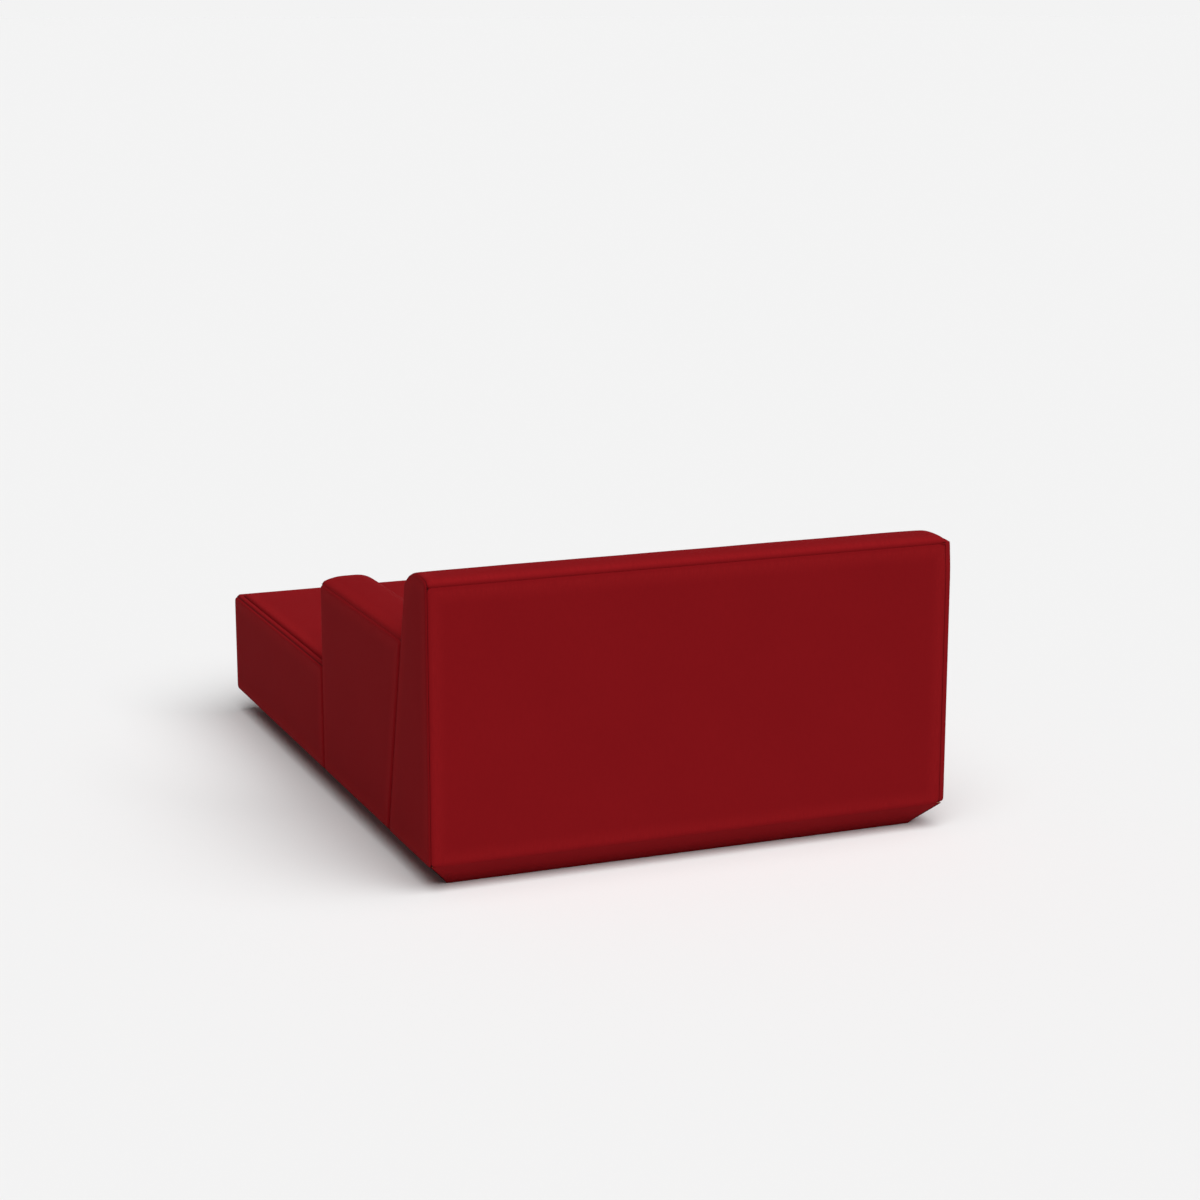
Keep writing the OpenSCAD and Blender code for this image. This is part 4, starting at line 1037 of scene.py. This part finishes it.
end_x, open_x = SIDE - CLOSE, SIDE - OPEN_IN
upholster(
    "back_wrap",
    "backrest",
    "back_wrap_cover",
    oblong(-end_x, SLIT, open_x, back_line.total),
    on_back,
    edge=back_wrap_edge,
    cell=(0.018, 0.008),
    rise=0.0030,
    free=back_free,
)
upholster(
    "back_rear",
    "backrest",
    "back_rear_cover",
    oblong(-end_x, FOLD_Z, open_x, BACK_SEAM_Z - SLIT),
    on_plane((0, REAR, 0), (-1, 0, 0), (0, 0, 1), in_back),
    edge=back_rear_edge,
    rise=FLAT_RISE,
)
back_rise = back_outline.total - back_line.total


def back_inside(depth, more=0):
    """The backrest's outline, moved in by a depth for each length from the crease."""
    return back_outline.inside(lambda at: more + depth(at - back_rise))


def end_outline(depth):
    """The pattern of an end panel, whose seam lies so deep for each length."""
    seam = back_inside(depth)[1:-1]
    foot = back_face(FOLD_Z) - depth(back_line.total) / math.cos(LEAN)
    return [(seam[0].x, FOLD_Z), *(tuple(p) for p in seam), (foot, FOLD_Z)]


upholster(
    "back_end_at_armrest",
    "backrest",
    "back_end_covers",
    [(REAR - t, z) for t, z in reversed(end_outline(close_depth))],
    on_plane((SIDE, 0, 0), (0, 1, 0), (0, 0, 1), in_back),
    edge=close_edge,
    cell=(0.012, 0.012),
    rise=FLAT_RISE,
    rows=FINE_ROWS,
)
upholster(
    "back_end_open",
    "backrest",
    "back_end_covers",
    [(t - REAR, z) for t, z in end_outline(open_depth)],
    on_plane((-open_x, 0, 0), (0, -1, 0), (0, 0, 1), in_back),
    edge=open_edge,
    cell=(0.012, 0.012),
    rise=OPEN_RISE,
    rows=FINE_ROWS,
)
# Dark thread tubes at the bottom of both end seams paint the shade inside them.
seams = [
    [(way * (SIDE - BEVEL), REAR - BEVEL, FLOOR_Z), (way * SIDE, REAR, FOLD_Z)]
    + [(way * (x - inset), REAR - p.x, p.y) for p in back_inside(depth, inset)]
    for way, x, depth, inset in (
        (1, end_x, close_depth, CLOSE_SEAM),
        (-1, open_x, open_depth, OPEN_SEAM),
    )
]
sew("back_seams", "backrest", seams, in_back, "back_seam_welts")
crease_y = REAR - SOFT - CREASE_IN
crease = [(CREASE_SHORT - open_x, crease_y, BACK_SEAM_Z), (end_x, crease_y, BACK_SEAM_Z)]
sew("back_crease", "backrest", [crease], in_back, material=cover_cloth)
base_cloth("back_base_cloth", "back_bevel_cover", "backrest", BACK_CORNERS)
lay_lining("back_dust", "back_dust_cloth", "backrest")

# The armrest's frame. It is built like the backrest, with three plywood ribs, pine rails
# and a hardboard sheet on both faces, and stands on its own bevelled base.

ARM_END_BOARDS_X = (0.418, BASE_MITRE_X)

ply_y = birch_plywood("birch plywood across the depth", "Y", (0, math.pi / 2, 0))
dress("arm_ribs", ply_y)
dress("arm_rails", pine_y)
dress("arm_boards", hardboard)
left, right = ARM_END_BOARDS_X
dress("arm_base_boards", pine_y, pine_x, pick=lambda at: left < at.x < right)
dress("arm_pins", steel_x)
dress("arm_glides", moulded_black)

# The armrest's filling. Foam is glued on the leaning face and over the top, and wadding on
# the outer side and on both ends.

ARM_FRONT, ARM_REAR_GAP = 0.016, 0.0030
ARM_SEAM_Z, ARM_END_Z = 0.534, 0.336
ARM_TURNS = [(0.028, 14, 14), (0.100, 14, 0), (0.0346, 0, 0), (0.065, 0, -31), (0.025, -31, -76.5)]
ARM_TUCK, ARM_ROLL, ARM_CREASE_ROLL = 0.0035, 0.009, 0.010
ARM_CORNERS = [(SIDE, ARM_FRONT, 1, -1)]

arm_line = Profile(swept((0, ARM_SEAM_Z), ARM_TURNS, (arm_face(FOLD_Z), FOLD_Z)))
arm_outline = Profile([(0, FOLD_Z - BELOW_FOLD), *arm_line.points])


def arm_rear(z):
    """Where the armrest's cover ends against the backrest's face, at height z."""
    return REAR - back_face(z) - ARM_REAR_GAP


def in_arm(co):
    """Where a point of the armrest lies once its lower front corner is drawn in."""
    return drawn_in(co, ARM_CORNERS, 0)


def under_arm_cover(co):
    """Where a point of the armrest's filling lies once the cover presses on it."""
    point = arm_outline.pressed(Vector((SIDE - co.x, co.z)), PAD_DEPTH)
    y = min(max(co.y, ARM_FRONT + PAD_DEPTH), arm_rear(co.z) - PAD_DEPTH)
    return in_arm(Vector((SIDE - point.x, y, point.y)))


for name, node, rounding, material, slot in (
    ("arm_foam", "arm_face_foam", 0.002, cut_foam, "foam"),
    ("arm_top_pad", "arm_top_foam", 0.003, cut_foam, "foam"),
    ("arm_pads", "arm_wadding", 0.002, wadding, "wadding"),
):
    pad = soft_copy(name, node, rounding, material, "armrest", slot, under_arm_cover)

# The armrest's cover. A panel is wrapped from the outer side over the top and down the
# leaning face, a flat panel covers the outer side, and another the front end.

ARM_MITRE = 0.78  # the tangent of half the angle between the outer side and the top's slope

arm_start, arm_stop = ARM_FRONT + ARM_TUCK, arm_rear(ARM_SEAM_Z)


def on_arm(a, b, h):
    """Lays the armrest's wrapped panel: a runs towards +Y, b along the profile. Its rear
    edge is cut on the slant, along the backrest's face."""
    point, out = arm_line.at(b)
    length = (a - arm_start) / (arm_stop - arm_start) * (arm_rear(point.y) - arm_start)
    return Vector((SIDE - point.x - out.x * h, arm_start + length, point.y + out.y * h))


def arm_free(a, b):
    """1 where the armrest's panel stands free, and 0 below the top of the seat."""
    return smooth(QUIET_Z, QUIET_Z + FADE, arm_line.at(b)[0].y)


def arm_wrap_edge(side, at):
    """The wrapped panel's edges: soft along the crease and round at the front end."""
    return (SOFT, SOFT_ROLL) if side.y < 0.001 else (ARM_TUCK, ARM_ROLL)


def arm_outer_edge(side, at):
    """The outer panel's edges: soft at the top, folded below, and round at both ends."""
    if side.y > ARM_SEAM_Z - 0.001:
        return SOFT, ARM_CREASE_ROLL
    if folded(side):
        return 0, FOLD_ROLL
    return (ARM_TUCK, ARM_ROLL) if side.x < arm_start + 0.001 else (GAP_TUCK, GAP_ROLL)


upholster(
    "arm_wrap",
    "armrest",
    "arm_wrap_cover",
    oblong(arm_start, SLIT, arm_stop, arm_line.total),
    on_arm,
    edge=arm_wrap_edge,
    free=arm_free,
    cell=(0.015, 0.008),
    rise=0.0085,
)
upholster(
    "arm_outer",
    "armrest",
    "arm_outer_cover",
    [
        (arm_start, FOLD_Z),
        (arm_rear(FOLD_Z), FOLD_Z),
        (arm_stop, ARM_SEAM_Z - SLIT),
        (arm_start, ARM_SEAM_Z - SLIT),
    ],
    on_plane((SIDE, 0, 0), (0, 1, 0), (0, 0, 1), in_arm),
    edge=arm_outer_edge,
)
arm_end = [
    (ARM_TUCK, ARM_END_Z),
    (ARM_TUCK, ARM_SEAM_Z - ARM_MITRE * ARM_TUCK),
    *(tuple(p) for p in arm_line.inside(lambda at: ARM_TUCK)[1:-1]),
    (arm_face(ARM_END_Z) - 2 * ARM_TUCK, ARM_END_Z),
]
upholster(
    "arm_end",
    "armrest",
    "arm_end_cover",
    [(SIDE - t, z) for t, z in reversed(arm_end)],
    on_plane((0, ARM_FRONT, 0), (1, 0, 0), (0, 0, 1)),
    edge=lambda side, at: (ARM_TUCK, CRISP_ROLL),
    cell=(0.012, 0.012),
    rows=FINE_ROWS[:2],
)
# A dark thread tube at the bottom of the front seam paints its shade.
arm_inside = arm_outline.inside(lambda at: ARM_TUCK + SLIT)
seam = [(SIDE - p.x, arm_start + SLIT, p.y) for p in arm_inside]
sew("arm_seams", "armrest", [seam], in_arm, "arm_seam_welts")
# A dark thread tube along the crease paints the shade under the wrap's rolled edge.
crease_x = SIDE - SOFT - CREASE_IN
crease = [(crease_x, arm_start, ARM_SEAM_Z), (crease_x, arm_stop, ARM_SEAM_Z)]
sew("arm_crease", "armrest", [crease], in_arm)
base_cloth("arm_base_cloth", "arm_bevel_cover", "armrest", ARM_CORNERS)
lay_lining("arm_lining", "arm_linings", "armrest")
lay_lining("arm_dust", "arm_dust_cloth", "armrest")

# The studio. A pale floor, one very large soft lamp high behind the daybed, weak light
# from all round, and a camera where the photograph was taken from.

FLOOR_HALF = 400
FLOOR_COLOUR, BACKGROUND, FILL_COLOUR = "ECECEC", "F3F3F3", "FFFFFF"
FILL_STRENGTH = 0.11
LAMP_STRENGTH, LAMP_ANGLE = 3.42, math.radians(74)
LAMP_FROM = Vector((-0.10, 0.46, 0.89))
CAMERA_AT = (2.3561, 6.0474, 1.9152)
CAMERA_YAW, CAMERA_PITCH = math.radians(22.142), math.radians(12.856)
CAMERA_LENS, CAMERA_SENSOR = 78.2, 36

# Painted studio floor: matt and evenly pale grey.
floor_paint = bpy.data.materials.new("matt floor paint")
floor_paint.use_nodes = True
tree = floor_paint.node_tree
tree.nodes.clear()
shader = add(tree, "BsdfDiffuse", {"Color": linear(FLOOR_COLOUR)})
add(tree, "OutputMaterial", {"Surface": shader.outputs["BSDF"]})

bm = bmesh.new()
bmesh.ops.create_grid(bm, x_segments=1, y_segments=1, size=FLOOR_HALF)
floor = build("floor", bm, floor_paint)

world = bpy.data.worlds.new("studio")
world.use_nodes = True
bpy.context.scene.world = world
tree = world.node_tree
tree.nodes.clear()
rays = add(tree, "LightPath", {}).outputs
mirrored = {0: rays["Is Glossy Ray"], 1: rays["Is Transmission Ray"]}
seen = {
    0: rays["Is Camera Ray"],
    1: add(tree, "Math", mirrored, operation="MAXIMUM").outputs[0],
}
shares = add(tree, "Math", seen, operation="MAXIMUM").outputs[0]
weak, shown = (
    add(tree, "Background", {"Color": linear(code), "Strength": strength}).outputs[0]
    for code, strength in ((FILL_COLOUR, FILL_STRENGTH), (BACKGROUND, 1))
)
both = add(tree, "MixShader", {0: shares, 1: weak, 2: shown})
add(tree, "OutputWorld", {"Surface": both.outputs["Shader"]})

lamp_data = bpy.data.lights.new("soft_lamp", "SUN")
lamp_data.energy, lamp_data.angle = LAMP_STRENGTH, LAMP_ANGLE
lamp = stand("soft_lamp", lamp_data)
lamp.rotation_mode = "QUATERNION"
lamp.rotation_quaternion = LAMP_FROM.to_track_quat("Z", "Y")

camera_data = bpy.data.cameras.new("camera")
camera_data.lens, camera_data.sensor_width = CAMERA_LENS, CAMERA_SENSOR
camera = stand("camera", camera_data)
camera.location = CAMERA_AT
back = Vector((math.sin(CAMERA_YAW), math.cos(CAMERA_YAW), math.tan(CAMERA_PITCH)))
camera.rotation_mode = "QUATERNION"
camera.rotation_quaternion = back.to_track_quat("Z", "Y")
bpy.context.scene.camera = camera
bpy.context.scene.view_settings.view_transform = "Standard"

bpy.context.view_layer.update()
